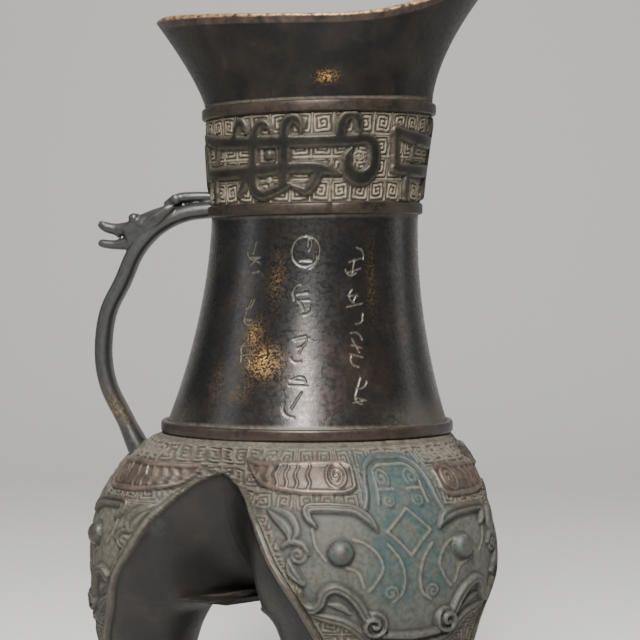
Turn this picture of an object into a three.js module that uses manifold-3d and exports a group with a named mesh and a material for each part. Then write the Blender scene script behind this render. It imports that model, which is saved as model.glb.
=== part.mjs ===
// A cast bronze wine vessel: a waisted neck with a flared mouth and a pouring spout, a body that runs down into
// three hollow pouch legs, a strap handle with a beast's head, and cast relief. All of it is one casting.
// Millimetres, +Z up. The spout points to +X, the handle stands at -X, and the feet rest on z = 0.
import * as THREE from 'three';
import Module from 'manifold-3d';

const wasm = await Module();
wasm.setup();

// Driving sizes of the body, from the floor upwards
const LEG_HEIGHT = 131.5;
const SHOULDER_RADIUS = 51.8;
const POUCH_REACH = 77.6;
const FOOT_RADIUS = 9;
const FOOT_REACH = 58;
const CROTCH_HEIGHT = 74;
const NECK_HEIGHT = 77;
const NECK_RADIUS = 37.1;
const BAND_HEIGHT = 35;
const BAND_FLARE = 3.6;
const FLARE_HEIGHT = 28;
const RIB_HEIGHT = 4.2;
const RIB_DEPTH = 1.3;

// The wall; the casting is hollow down to the solid lower part of each leg
const WALL = 2.6;

// The mouth, measured from the axis of the neck, which leans a little towards the spout
const TAIL_REACH = 58.3;
const SIDE_REACH = 46.5;
const SPOUT_REACH = 72;
const SPOUT_RISE = 28.2;
const TAIL_RISE = 1.8;
const NECK_LEAN = 4.3;
const BAND_TILT = 0.025;

// The strap handle and its beast's head
const HANDLE_WIDTH = 12.5;
const HANDLE_THICKNESS = 6;
const HANDLE_REACH = 39.6;
const HANDLE_FOOT_DROP = 7;
const HANDLE_BURIED = 1.4;
const HEAD_WIDTH = 10;
const JAW_LENGTH = 12;

// Relief: how far it stands proud, how deep it is rooted in the wall, and how wide its bands are
const BAND_PROUD = 1.2;
const MASK_PROUD = 1.3;
const ARCH_PROUD = 1.4;
const RELIEF_ROOT = 1.3;
const DRAGON_BAND = 4.2;
const MASK_BAND = 3;
const ARCH_BAND = 2.2;
const EYE_RADIUS = 4.7;
const DRAGON_EYE_RADIUS = 2;
const RELIEF_STEP = 13;

// Facets round the body: twice this many for each leg
const HALF_COLUMNS = 6;

const LEG_AZIMUTHS = [180, 300, 60];
const DRAGON_AZIMUTHS = [270, 30, 150];
const SHOULDER_Z = LEG_HEIGHT + RIB_HEIGHT / 2;
const LOW_RIB_Z = LEG_HEIGHT + NECK_HEIGHT + RIB_HEIGHT / 2;
const HIGH_RIB_Z = LOW_RIB_Z + BAND_HEIGHT;
const RIM_Z = HIGH_RIB_Z + RIB_HEIGHT / 2 + FLARE_HEIGHT;

const radians = THREE.MathUtils.degToRad;
const degrees = THREE.MathUtils.radToDeg;
const clamp = THREE.MathUtils.clamp;
const lerp = THREE.MathUtils.lerp;

// Small mesh kit: a solid is a list of points and a list of triangles that point outwards

function solidOf(points, faces) {
  const vertProperties = new Float32Array(points.flatMap((point) => point.toArray()));
  const triVerts = new Uint32Array(faces.flat());
  return new wasm.Manifold(new wasm.Mesh({ numProp: 3, vertProperties, triVerts }));
}

// Rings of equally many points, skinned one to the next and closed at both ends with a fan.
// Seen along the path from the first ring to the last, each ring runs clockwise.
function loft(rings) {
  const size = rings[0].length;
  const points = rings.flat();
  const faces = [];
  for (let ring = 0; ring + 1 < rings.length; ring += 1) {
    for (let k = 0; k < size; k += 1) {
      const a = ring * size + k;
      const b = ring * size + ((k + 1) % size);
      faces.push([a, b, b + size], [a, b + size, a + size]);
    }
  }
  for (const [ring, turned] of [[0, true], [rings.length - 1, false]]) {
    const centre = new THREE.Vector3();
    rings[ring].forEach((point) => centre.addScaledVector(point, 1 / size));
    points.push(centre);
    for (let k = 0; k < size; k += 1) {
      const a = ring * size + k;
      const b = ring * size + ((k + 1) % size);
      faces.push(turned ? [b, a, points.length - 1] : [a, b, points.length - 1]);
    }
  }
  return outwards(points, faces);
}

function outwards(points, faces) {
  let volume = 0;
  for (const [a, b, c] of faces) {
    volume += points[a].dot(points[b].clone().cross(points[c]));
  }
  return solidOf(points, volume > 0 ? faces : faces.map(([a, b, c]) => [a, c, b]));
}

// Smooth curve through rows of numbers that never overshoots them
function throughRows(rows, at) {
  const last = rows.length - 1;
  const low = Math.min(Math.floor(clamp(at, 0, last)), last - 1);
  const t = clamp(at, 0, last) - low;
  const slope = (row, k) => {
    if (row === 0) return rows[1][k] - rows[0][k];
    if (row === last) return rows[last][k] - rows[last - 1][k];
    const before = rows[row][k] - rows[row - 1][k];
    const after = rows[row + 1][k] - rows[row][k];
    return before * after > 0 ? (2 * before * after) / (before + after) : 0;
  };
  return rows[low].map((value, k) => {
    const rise = rows[low + 1][k] - value;
    const start = slope(low, k);
    const end = slope(low + 1, k);
    return value + t * start + t * t * (3 * rise - 2 * start - end) + t * t * t * (start + end - 2 * rise);
  });
}

// One pouch leg, in its own axes: n outwards from the axis of the vessel, t across, z up.
// Each section runs from its outermost point, past its widest point, to the point where it meets its neighbour
// (above the crotch) or itself (below it). Heights are shares of the leg, the rest are shares of the pouch.
// Columns: outer height, outer reach, widest point along n and t, its heading, inner height, inner reach.
const up = CROTCH_HEIGHT / LEG_HEIGHT;
const collar = SHOULDER_RADIUS / POUCH_REACH;
const foot = FOOT_REACH / POUCH_REACH;
const tip = FOOT_RADIUS / POUCH_REACH;
const LEG_SECTIONS = [
  [1, collar, 0.866 * collar, 0.5 * collar, 120, 1, collar],
  [0.966, 0.754, 0.638, 0.393, 122, 0.966, 1.011 * collar],
  [0.905, 0.87, 0.696, 0.474, 134, 0.905, 1.015 * collar],
  [0.814, 0.96, 0.702, 0.548, 153, 0.814, 0.969 * collar],
  [0.738, 0.99, 0.677, 0.575, 168, lerp(up, 1, 0.383), 0.869 * collar],
  [0.68, 1, 0.662, 0.567, 176, lerp(up, 1, 0.209), 0.676 * collar],
  [0.64, 0.999, 0.657, 0.545, 180, lerp(up, 1, 0.07), 0.386 * collar],
  [0.597, 0.996, 0.657, 0.518, 180, up, 0],
  [0.567, 0.992, 0.668, 0.495, 180, 0.99 * up, -0.232],
  [0.54, 0.987, 0.678, 0.474, 180, 0.957 * up, -0.4],
  [0.479, 0.977, 0.696, 0.438, 180, 0.844 * up, -0.482],
  [0.319, lerp(1, foot + tip, 0.49), 0.98 * foot, 2.62 * tip, 180, 0.319, 1.66 * tip - foot],
  [0.106, lerp(1, foot + tip, 0.93), foot, 1.3 * tip, 180, 0.106, 1.07 * tip - foot],
  [0, foot + tip, foot, tip, 180, 0, tip - foot],
];
const LAST_SECTION = LEG_SECTIONS.length - 1;
const CROTCH_SECTION = LEG_SECTIONS.findIndex((row) => row[6] === 0);

// A quarter turn of a section: a smooth arc between two points with given headings
function arcPoint(from, fromHeading, to, toHeading, t) {
  const turn = Math.abs(toHeading - fromHeading);
  const reach = turn > 0.001 ? (2 / 3) * Math.tan(turn / 4) / Math.sin(turn / 2) : 1 / 3;
  const handle = from.distanceTo(to) * Math.min(reach, 0.45);
  const first = new THREE.Vector2(Math.cos(fromHeading), Math.sin(fromHeading)).multiplyScalar(handle).add(from);
  const second = new THREE.Vector2(Math.cos(toHeading), Math.sin(toHeading)).multiplyScalar(-handle).add(to);
  return new THREE.CubicBezierCurve(from, first, second, to).getPoint(t);
}

// A point of the leg: station is a place in the list of sections, side runs from -1 to 1 round the section
function legLocal(station, side) {
  const row = throughRows(LEG_SECTIONS, station);
  const [outerZ, outer, wideN, wideT, heading, innerZ, inner] = row;
  const start = new THREE.Vector2(outer, 0);
  const wide = new THREE.Vector2(wideN, wideT);
  const meets = inner > 0;
  const seam = meets ? new THREE.Vector2(inner / 2, inner * Math.sqrt(0.75)) : new THREE.Vector2(-inner, 0);
  const closing = station < 1.5 ? 150 : 210 - 60 * Math.tanh(inner * POUCH_REACH / 11);
  const round = Math.abs(side);
  const spot = round < 0.5
    ? arcPoint(start, Math.PI / 2, wide, radians(heading), 2 * round)
    : arcPoint(wide, radians(heading), seam, radians(closing), 2 * round - 1);
  const blend = round * round * (3 - 2 * round);
  return new THREE.Vector3(
    spot.x * POUCH_REACH,
    Math.sign(side) * spot.y * POUCH_REACH,
    lerp(outerZ, innerZ, blend) * LEG_HEIGHT,
  );
}

function turned(local, azimuth) {
  return local.clone().applyAxisAngle(new THREE.Vector3(0, 0, 1), radians(azimuth));
}

// The neck: its radius at a height, without ribs
function neckRadius(z) {
  const waist = LEG_HEIGHT + NECK_HEIGHT;
  if (z <= waist) {
    return NECK_RADIUS + (0.965 * SHOULDER_RADIUS - NECK_RADIUS) * ((waist - z) / (NECK_HEIGHT - RIB_HEIGHT)) ** 1.9;
  }
  return NECK_RADIUS + BAND_FLARE * clamp((z - waist) / (BAND_HEIGHT + RIB_HEIGHT), 0, 1) ** 1.4;
}

// Above the shoulder the neck leans to the spout, and its ribs tilt with it
function leaned(angle, radius, z) {
  const share = clamp((z - SHOULDER_Z) / (HIGH_RIB_Z - SHOULDER_Z), 0, 1);
  const x = radius * Math.cos(angle);
  return new THREE.Vector3(x + NECK_LEAN * share, radius * Math.sin(angle), z + BAND_TILT * share * x);
}

function rimPoint(angle) {
  const along = Math.cos(angle);
  const across = Math.sin(angle);
  if (along > 0) {
    const side = Math.sign(across) * Math.abs(across) ** 1.35 * SIDE_REACH;
    return new THREE.Vector3(SPOUT_REACH * along + NECK_LEAN, side, RIM_Z + SPOUT_RISE * along ** 2.6);
  }
  return new THREE.Vector3(TAIL_REACH * along + NECK_LEAN, SIDE_REACH * across, RIM_Z + TAIL_RISE * along ** 2);
}

// The flare from the upper rib to the rim: rise runs from 0 to 1
function flarePoint(angle, rise) {
  const top = HIGH_RIB_Z + RIB_HEIGHT / 2;
  const base = leaned(angle, neckRadius(top), top);
  const rim = rimPoint(angle);
  const outwards = rise ** (1.3 + 0.35 * Math.max(0, Math.cos(angle)));
  return new THREE.Vector3(
    lerp(base.x, rim.x, outwards),
    lerp(base.y, rim.y, outwards),
    lerp(base.z, rim.z, rise),
  );
}

// Rows of the upper body: a rib is two proud rows between two flush ones
function ribRows(z, below, above) {
  return [
    [z - RIB_HEIGHT / 2, below],
    [z - RIB_HEIGHT / 4, lerp(below, above, 0.25) + RIB_DEPTH],
    [z + RIB_HEIGHT / 4, lerp(below, above, 0.75) + RIB_DEPTH],
    [z + RIB_HEIGHT / 2, above],
  ];
}

const neckTop = LEG_HEIGHT + NECK_HEIGHT;
const neckSteps = [0.2, 0.45, 0.72].map((share) => lerp(SHOULDER_Z + RIB_HEIGHT / 2, neckTop, share));
const bandMiddle = (LOW_RIB_Z + HIGH_RIB_Z) / 2;
const plain = (z) => [z, neckRadius(z)];
const OUTER_ROWS = [
  ...ribRows(SHOULDER_Z, SHOULDER_RADIUS, neckRadius(SHOULDER_Z + RIB_HEIGHT / 2)).slice(1),
  ...neckSteps.map(plain),
  ...ribRows(LOW_RIB_Z, neckRadius(neckTop), neckRadius(LOW_RIB_Z + RIB_HEIGHT / 2)),
  plain(bandMiddle),
  ...ribRows(HIGH_RIB_Z, neckRadius(HIGH_RIB_Z - RIB_HEIGHT / 2), neckRadius(HIGH_RIB_Z + RIB_HEIGHT / 2)),
];
const INNER_ROWS = [plain(SHOULDER_Z + RIB_HEIGHT / 2), ...neckSteps.map(plain), plain(bandMiddle), plain(HIGH_RIB_Z)];
const OUTER_FLARE = [0.25, 0.5, 0.75, 1];
const INNER_FLARE = [0.3, 0.65, 1];
const OUTER_STATIONS = [...LEG_SECTIONS.keys()];

// The inner skin skips two sections of the pouch and ends a little above the last but one
const INNER_STATIONS = OUTER_STATIONS.slice(0, -2).filter((station) => station !== 3 && station !== 5);
INNER_STATIONS.push(LAST_SECTION - 1.4);

// One skin of the body from the rim down all three legs. Above the crotch neighbouring legs share a seam, the
// crotch is a single point, and below it each leg closes on itself.
function bodySkin(rows, flares, stations) {
  const columns = 2 * HALF_COLUMNS;
  const points = [];
  const faces = [];
  const known = new Map();
  const legVertex = (leg, row, column) => {
    const station = stations[row];
    let key = `${leg} ${row} ${column}`;
    if (station === CROTCH_SECTION && column % columns === 0) key = 'crotch';
    else if (station < CROTCH_SECTION && column === columns) key = `${(leg + 1) % 3} ${row} 0`;
    else if (station > CROTCH_SECTION && column === columns) key = `${leg} ${row} 0`;
    if (!known.has(key)) {
      known.set(key, points.length);
      points.push(turned(legLocal(station, column / HALF_COLUMNS - 1), LEG_AZIMUTHS[leg]));
    }
    return known.get(key);
  };
  const quad = (a, b, c, d) => faces.push([a, b, c], [a, c, d]);
  for (let leg = 0; leg < 3; leg += 1) {
    for (let row = 0; row + 1 < stations.length; row += 1) {
      for (let column = 0; column < columns; column += 1) {
        const a = legVertex(leg, row + 1, column);
        const b = legVertex(leg, row + 1, column + 1);
        const c = legVertex(leg, row, column + 1);
        const d = legVertex(leg, row, column);
        if (column < HALF_COLUMNS) quad(a, b, c, d);
        else quad(b, c, d, a);
      }
    }
  }
  let ring = [];
  for (let leg = 0; leg < 3; leg += 1) {
    for (let column = 0; column < columns; column += 1) ring.push(legVertex(leg, 0, column));
  }
  const angles = ring.map((id) => Math.atan2(points[id].y, points[id].x));
  const place = [
    ...rows.map(([z, radius]) => (angle) => leaned(angle, radius, z)),
    ...flares.map((rise) => (angle) => flarePoint(angle, rise)),
  ];
  for (const at of place) {
    const next = angles.map((angle) => points.push(at(angle)) - 1);
    for (let k = 0; k < ring.length; k += 1) {
      const other = (k + 1) % ring.length;
      quad(ring[k], ring[other], next[other], next[k]);
    }
    ring = next;
  }
  const tips = [0, 1, 2].map((leg) => {
    const loop = [];
    for (let column = 0; column < columns; column += 1) loop.push(legVertex(leg, stations.length - 1, column));
    return loop;
  });
  return { points, faces: faces.filter(([a, b, c]) => a !== b && b !== c && c !== a), rim: ring, tips };
}

// The same skin moved inwards by the wall
function inwards(skin) {
  const geometry = new THREE.BufferGeometry();
  geometry.setAttribute('position', new THREE.Float32BufferAttribute(skin.points.flatMap((p) => p.toArray()), 3));
  geometry.setIndex(skin.faces.flat());
  geometry.computeVertexNormals();
  const normal = geometry.getAttribute('normal');
  const moved = skin.points.map((point, k) => {
    const out = new THREE.Vector3().fromBufferAttribute(normal, k);
    return point.clone().addScaledVector(out, -WALL);
  });
  return { ...skin, points: moved };
}

// Fan over a loop, facing down when the loop runs anticlockwise seen from below
function capped(points, faces, loop, flipped) {
  const centre = new THREE.Vector3();
  loop.forEach((id) => centre.addScaledVector(points[id], 1 / loop.length));
  points.push(centre);
  loop.forEach((id, k) => {
    const other = loop[(k + 1) % loop.length];
    faces.push(flipped ? [id, other, points.length - 1] : [other, id, points.length - 1]);
  });
}

function hollowBody() {
  const outer = bodySkin(OUTER_ROWS, OUTER_FLARE, OUTER_STATIONS);
  const inner = inwards(bodySkin(INNER_ROWS, INNER_FLARE, INNER_STATIONS));
  const shift = outer.points.length;
  const points = [...outer.points, ...inner.points];
  const faces = [...outer.faces, ...inner.faces.map(([a, b, c]) => [a + shift, c + shift, b + shift])];
  outer.rim.forEach((id, k) => {
    const other = (k + 1) % outer.rim.length;
    const inside = inner.rim[k] + shift;
    const insideNext = inner.rim[other] + shift;
    faces.push([id, outer.rim[other], insideNext], [id, insideNext, inside]);
  });
  outer.tips.forEach((loop) => capped(points, faces, loop, false));
  inner.tips.forEach((loop) => capped(points, faces, loop.map((id) => id + shift), true));
  return outwards(points, faces);
}

// Surface of the vessel for relief: a place is an azimuth in degrees and a height

function neckPlace(azimuth, z) {
  return leaned(radians(azimuth), neckRadius(z), z);
}

// Looks for the place on the outside of a leg, with the azimuth counted from the middle of the leg
function legPlace(leg) {
  const sideAt = (station, azimuth) => {
    let low = 0;
    let high = 0.75;
    for (let turn = 0; turn < 18; turn += 1) {
      const middle = (low + high) / 2;
      const local = legLocal(station, middle);
      if (degrees(Math.atan2(local.y, local.x)) < azimuth) low = middle;
      else high = middle;
    }
    return (low + high) / 2;
  };
  return (azimuth, z) => {
    let low = 0;
    let high = LAST_SECTION;
    for (let turn = 0; turn < 18; turn += 1) {
      const middle = (low + high) / 2;
      if (legLocal(middle, sideAt(middle, Math.abs(azimuth))).z > z) low = middle;
      else high = middle;
    }
    const station = (low + high) / 2;
    const side = sideAt(station, Math.abs(azimuth)) * (azimuth < 0 ? -1 : 1);
    return turned(legLocal(station, side), LEG_AZIMUTHS[leg]);
  };
}

function normalAt(place, azimuth, z) {
  const step = 0.4;
  const east = place(azimuth + step, z).sub(place(azimuth - step, z));
  const north = place(azimuth, z + step).sub(place(azimuth, z - step));
  return east.cross(north).normalize();
}

// Extra places on a path so that its straight steps don't cut under the round surface
function stepped(place, path) {
  const fine = [path[0]];
  for (let k = 1; k < path.length; k += 1) {
    const [from, to] = [path[k - 1], path[k]];
    const gap = place(from[0], from[1]).distanceTo(place(to[0], to[1]));
    const steps = Math.ceil(gap / RELIEF_STEP);
    for (let step = 1; step <= steps; step += 1) fine.push(from.map((value, j) => lerp(value, to[j], step / steps)));
  }
  return fine;
}

// A raised band along a path of [azimuth, height, width] places, rooted in the wall. It is flat on top, in as many
// strips as across says, or a ridge when that is none.
function band(place, path, proud, across = 1) {
  const spots = stepped(place, path).map(([azimuth, z, width]) => ({ azimuth, z, width, at: place(azimuth, z) }));
  const rings = spots.map((spot, k) => {
    const before = spots[Math.max(k - 1, 0)].at;
    const after = spots[Math.min(k + 1, spots.length - 1)].at;
    const normal = normalAt(place, spot.azimuth, spot.z);
    const sideways = after.clone().sub(before).cross(normal).normalize();
    const east = new THREE.Vector3(-spot.at.y, spot.at.x, 0);
    const radius = east.length();
    east.normalize();
    const edge = (share, height) => {
      const offset = (share * spot.width) / 2;
      const azimuth = spot.azimuth + degrees((offset * sideways.dot(east)) / radius);
      const z = spot.z + offset * sideways.z;
      return place(azimuth, z).addScaledVector(normalAt(place, azimuth, z), height);
    };
    const ring = [edge(-1, -RELIEF_ROOT)];
    for (let part = 0; part <= across; part += 1) {
      ring.push(edge(across ? 0.84 * lerp(-1, 1, part / across) : 0, proud));
    }
    ring.push(edge(1, -RELIEF_ROOT));
    return ring;
  });
  return loft(rings);
}

// A round boss on the surface
function boss(place, azimuth, z, radius) {
  const centre = place(azimuth, z);
  const ball = new THREE.SphereGeometry(radius, 7, 4);
  ball.rotateX(Math.PI / 2);
  ball.translate(centre.x, centre.y, centre.z);
  return fromGeometry(ball);
}

// A three.js geometry as a solid: corners that share a place become one
function fromGeometry(geometry) {
  const position = geometry.getAttribute('position');
  const index = geometry.getIndex().array;
  const points = [];
  const known = new Map();
  const ids = [];
  for (let k = 0; k < position.count; k += 1) {
    const point = new THREE.Vector3().fromBufferAttribute(position, k);
    const key = point.toArray().map((value) => Math.round(value * 1e4)).join(' ');
    if (!known.has(key)) known.set(key, points.push(point) - 1);
    ids.push(known.get(key));
  }
  const faces = [];
  for (let k = 0; k < index.length; k += 3) {
    const face = [ids[index[k]], ids[index[k + 1]], ids[index[k + 2]]];
    if (new Set(face).size === 3) faces.push(face);
  }
  return outwards(points, faces);
}

// Relief of the neck: a crested dragon of flat bands, one for each third of the neck.
// Places are [azimuth from the dragon's middle, height as a share of the band, width as a share of its bands].
const DRAGON = {
  back: [
    [-74, 0.76, 0.9], [-58, 0.7, 1], [26, 0.68, 0.9], [32.5, 0.6, 1], [33, 0.42, 1], [27, 0.28, 1.1], [19.5, 0.34, 0.8],
    [20, 0.56, 0.4],
  ],
  belly: [[-73, 0.37, 0.9], [-33, 0.36, 1], [2, 0.38, 0.9], [15, 0.31, 0.3]],
  snout: [[-74, 0.76, 0.7], [-73, 0.37, 0.7]],
  beard: [[-62, 0.37, 0.7], [-62, 0.06, 0.7]],
  browLeft: [[-30, 0.1, 0.8], [-30, 0.72, 0.8], [-24, 0.88, 0.4]],
  browRight: [[-14, 0.14, 0.8], [-13, 0.86, 0.8], [-6, 0.88, 0.4]],
  crest: [[14, 0.68, 0.8], [15.5, 0.91, 0.8], [23, 0.88, 0.4]],
};

function dragon(azimuth) {
  const low = LOW_RIB_Z + RIB_HEIGHT / 2;
  const high = HIGH_RIB_Z - RIB_HEIGHT / 2;
  const place = (turn, share) => neckPlace(azimuth + turn, lerp(low, high, share));
  const inHeights = (turn, z) => place(turn, (z - low) / (high - low));
  const strokes = Object.values(DRAGON).map((path) => band(
    inHeights,
    path.map(([turn, share, width]) => [turn, lerp(low, high, share), width * DRAGON_BAND]),
    BAND_PROUD,
  ));
  strokes.push(boss(inHeights, -22, lerp(low, high, 0.5), DRAGON_EYE_RADIUS));
  return strokes;
}

// Relief of a leg, as shares of its height. The edge moulding follows the arch between two legs.
const ARCH = [[60, 0.918], [54, 0.907], [47, 0.87], [41, 0.8], [36, 0.71], [29, 0.6], [17, 0.4]];
const MASK = {
  horn: [[25, 0.8, 0.5], [26.7, 0.845, 0.9], [15, 0.845, 1], [8.9, 0.79, 0.3]],
  jaw: [[27, 0.64, 0.7], [24, 0.6, 0.9], [18, 0.643, 0.9], [10, 0.555, 1], [0, 0.52, 0.8]],
  crest: [[10.5, 0.955, 0.6], [9, 0.845, 0.6]],
};
const FEATHER = [[49, 0.955, 0.1], [42, 0.925, 0.55], [28, 0.91, 0.95], [13.5, 0.91, 1]];
const FEATHER_WIDTH = 10.5;

function legRelief(leg) {
  const place = legPlace(leg);
  const strokes = [];
  for (const side of [-1, 1]) {
    const mirrored = (path, widest) => path.map(([azimuth, share, width = 1]) => (
      [side * azimuth, share * LEG_HEIGHT, width * widest]
    ));
    strokes.push(band(place, mirrored(ARCH, ARCH_BAND), ARCH_PROUD, 0));
    strokes.push(band(place, mirrored(FEATHER, FEATHER_WIDTH), MASK_PROUD, 2));
    for (const path of Object.values(MASK)) strokes.push(band(place, mirrored(path, MASK_BAND), MASK_PROUD));
    strokes.push(boss(place, side * 17.5, 0.728 * LEG_HEIGHT, EYE_RADIUS));
  }
  return strokes;
}

// Handle parts lie in the plane y = 0: an eight-sided section round each point of a path
function strap(path) {
  const rings = path.map(({ x, z, width, thick }, k) => {
    const before = path[Math.max(k - 1, 0)];
    const after = path[Math.min(k + 1, path.length - 1)];
    const along = new THREE.Vector2(after.x - before.x, after.z - before.z).normalize();
    const corner = [[1, 0.5], [0.6, 1], [-0.6, 1], [-1, 0.5], [-1, -0.5], [-0.6, -1], [0.6, -1], [1, -0.5]];
    return corner.map(([wide, deep]) => new THREE.Vector3(
      x - (along.y * deep * thick) / 2,
      (wide * width) / 2,
      z + (along.x * deep * thick) / 2,
    ));
  });
  return loft(rings);
}

// Handle strap: from the neck beside the lower rib, out and down to the shoulder of the rear leg.
// Its route is a curve through [share of the way down, share of the reach] places.
const HANDLE_ROUTE = [
  [0.005, 0], [0.02, 0.25], [0.05, 0.42], [0.1, 0.57], [0.18, 0.71], [0.3, 0.825], [0.43, 0.957], [0.6, 1],
  [0.73, 0.955], [0.87, 0.81],
];

function handle() {
  const topZ = LOW_RIB_Z + 1;
  const footZ = LEG_HEIGHT - HANDLE_FOOT_DROP;
  const rear = legPlace(0);
  const footNormal = normalAt(rear, 0, footZ);
  const footPoint = rear(0, footZ).addScaledVector(footNormal, -HANDLE_BURIED);
  const wallX = neckPlace(180, topZ).x;
  const route = HANDLE_ROUTE.map(([down, out]) => new THREE.Vector3(
    wallX + HANDLE_BURIED - out * (HANDLE_REACH + HANDLE_BURIED),
    0,
    lerp(topZ, footPoint.z, down),
  ));
  route.push(footPoint);
  const curve = new THREE.CatmullRomCurve3(route, false, 'centripetal');
  const steps = 11;
  const path = [];
  for (let k = 0; k <= steps; k += 1) {
    const point = curve.getPoint(k / steps);
    path.push({ x: point.x, z: point.z, width: HANDLE_WIDTH, thick: HANDLE_THICKNESS });
  }
  return [strap(path), ...beastHead(wallX, topZ)];
}

// Beast's head on the bend of the handle, jaws open outwards, with ears, eyes and a scroll that runs to the neck.
// Places are [out from the neck, up from the handle's top, width, thickness], in shares of the head's width.
const HEAD_PARTS = {
  skull: [[1.4, -0.15, 0.8, 0.6], [2, -0.45, 1, 0.85], [2.6, -0.78, 1, 1.05], [3.1, -1, 0.8, 0.85]],
  scroll: [[-0.1, 0.4, 0.75, 0.36], [0.7, 0.4, 0.75, 0.36], [1.25, 0.3, 0.75, 0.36], [1.6, 0, 0.7, 0.4]],
};

function beastHead(wallX, topZ) {
  const at = ([out, rise, width, thick]) => ({
    x: wallX - out * HEAD_WIDTH,
    z: topZ + rise * HEAD_WIDTH,
    width: width * HEAD_WIDTH,
    thick: thick * HEAD_WIDTH,
  });
  const parts = Object.values(HEAD_PARTS).map((path) => strap(path.map(at)));
  const root = 2.9;
  const jawTip = root + JAW_LENGTH / HEAD_WIDTH;
  const upper = [[root, -0.7, 0.8, 0.55], [jawTip - 0.5, -0.76, 0.65, 0.4], [jawTip, -0.62, 0.5, 0.26]];
  const lower = [[root, -1.25, 0.75, 0.55], [jawTip - 0.5, -1.3, 0.55, 0.32], [jawTip, -1.25, 0.4, 0.22]];
  parts.push(strap(upper.map(at)), strap(lower.map(at)));
  for (const side of [-1, 1]) {
    const eye = new THREE.SphereGeometry(0.2 * HEAD_WIDTH, 6, 4);
    eye.translate(wallX - 2.8 * HEAD_WIDTH, side * 0.38 * HEAD_WIDTH, topZ - 0.37 * HEAD_WIDTH);
    const ear = new THREE.ConeGeometry(0.24 * HEAD_WIDTH, HEAD_WIDTH, 5);
    ear.rotateZ(radians(-45));
    ear.rotateX(Math.PI / 2);
    ear.translate(wallX - 1.92 * HEAD_WIDTH, side * 0.46 * HEAD_WIDTH, topZ - 0.33 * HEAD_WIDTH);
    parts.push(fromGeometry(eye), fromGeometry(ear));
  }
  return parts;
}

// The casting as one solid
const raised = [
  ...DRAGON_AZIMUTHS.flatMap(dragon),
  ...LEG_AZIMUTHS.flatMap((azimuth, leg) => legRelief(leg)),
  ...handle(),
];
const casting = raised.reduce((whole, piece) => whole.add(piece), hollowBody());

const { numProp, vertProperties, triVerts } = casting.getMesh();
const geometry = new THREE.BufferGeometry();
geometry.setAttribute('position', new THREE.BufferAttribute(new Float32Array(vertProperties), numProp));
geometry.setIndex(new THREE.BufferAttribute(new Uint32Array(triVerts), 1));
geometry.computeVertexNormals();

const bronze = new THREE.MeshStandardMaterial({ color: 0x3f3a34, roughness: 0.48, metalness: 0.85 });
const vessel = new THREE.Mesh(geometry, bronze);
vessel.name = 'vessel';

// The origin lies on the floor under the middle of the whole
const middle = new THREE.Box3().setFromObject(vessel).getCenter(new THREE.Vector3());
vessel.position.set(-middle.x, -middle.y, 0);

const part = new THREE.Group();
part.add(vessel);

export default part;
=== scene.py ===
import math
import bpy
import numpy as np
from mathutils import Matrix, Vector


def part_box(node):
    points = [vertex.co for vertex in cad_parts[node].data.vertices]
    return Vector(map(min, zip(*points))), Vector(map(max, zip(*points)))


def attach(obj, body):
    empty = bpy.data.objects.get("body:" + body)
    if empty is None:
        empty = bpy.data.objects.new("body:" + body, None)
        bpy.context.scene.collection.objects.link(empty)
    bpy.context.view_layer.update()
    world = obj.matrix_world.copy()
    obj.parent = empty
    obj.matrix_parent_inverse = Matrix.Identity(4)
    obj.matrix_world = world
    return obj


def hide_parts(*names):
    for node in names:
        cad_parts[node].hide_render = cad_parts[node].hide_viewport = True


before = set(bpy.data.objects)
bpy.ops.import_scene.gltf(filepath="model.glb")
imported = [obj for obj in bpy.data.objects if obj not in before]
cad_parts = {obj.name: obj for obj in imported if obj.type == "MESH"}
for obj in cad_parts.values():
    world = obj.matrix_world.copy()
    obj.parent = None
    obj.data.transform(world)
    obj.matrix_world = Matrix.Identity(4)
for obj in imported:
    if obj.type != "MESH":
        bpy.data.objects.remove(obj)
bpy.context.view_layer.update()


# Camera and studio.
# The lens looks level at the side of the vessel, a hand's breadth above its shoulder, and crops the feet
# and the tip of the spout as the photograph does. The floor and the backdrop are one pale sheet.
CAMERA_TURN = 3.0
CAMERA_DISTANCE = 778.0
CAMERA_HEIGHT = 193.7
CAMERA_SIDESTEP = 5.7
CAMERA_PITCH = 1.65
PHOTO_WIDTH = 640
MM_PER_PIXEL = 0.36
SENSOR = 36.0


def metres(values):
    return tuple(float(value) * 0.001 for value in values)


def add_object(name, data):
    thing = bpy.data.objects.new(name, data)
    bpy.context.scene.collection.objects.link(thing)
    return thing


def make_camera():
    data = bpy.data.cameras.new("camera")
    data.sensor_width = SENSOR
    data.lens = SENSOR * CAMERA_DISTANCE / MM_PER_PIXEL / PHOTO_WIDTH
    data.clip_end = 20.0
    camera = add_object("camera", data)
    turn = math.radians(CAMERA_TURN)
    camera.location = metres((
        CAMERA_SIDESTEP + CAMERA_DISTANCE * math.sin(turn),
        -CAMERA_DISTANCE * math.cos(turn),
        CAMERA_HEIGHT,
    ))
    camera.rotation_euler = (math.radians(90 - CAMERA_PITCH), 0, turn)
    bpy.context.scene.camera = camera


def softbox(name, place, target, size, watts, colour):
    data = bpy.data.lights.new(name, "AREA")
    data.shape = "RECTANGLE"
    data.size, data.size_y = (side * 0.001 for side in size)
    data.energy = watts
    data.color = colour
    light = add_object(name, data)
    light.location = metres(place)
    away = np.array(place, float) - np.array(target, float)
    level = math.hypot(away[0], away[1])
    light.rotation_euler = (math.atan2(level, away[2]), 0, math.atan2(away[0], -away[1]))


def linear(code):
    """A colour given as an sRGB hex value, as Blender's linear RGBA."""
    parts = [int(code[k:k + 2], 16) / 255 for k in (1, 3, 5)]
    return [p / 12.92 if p <= 0.04045 else ((p + 0.055) / 1.055) ** 2.4 for p in parts] + [1.0]


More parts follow.
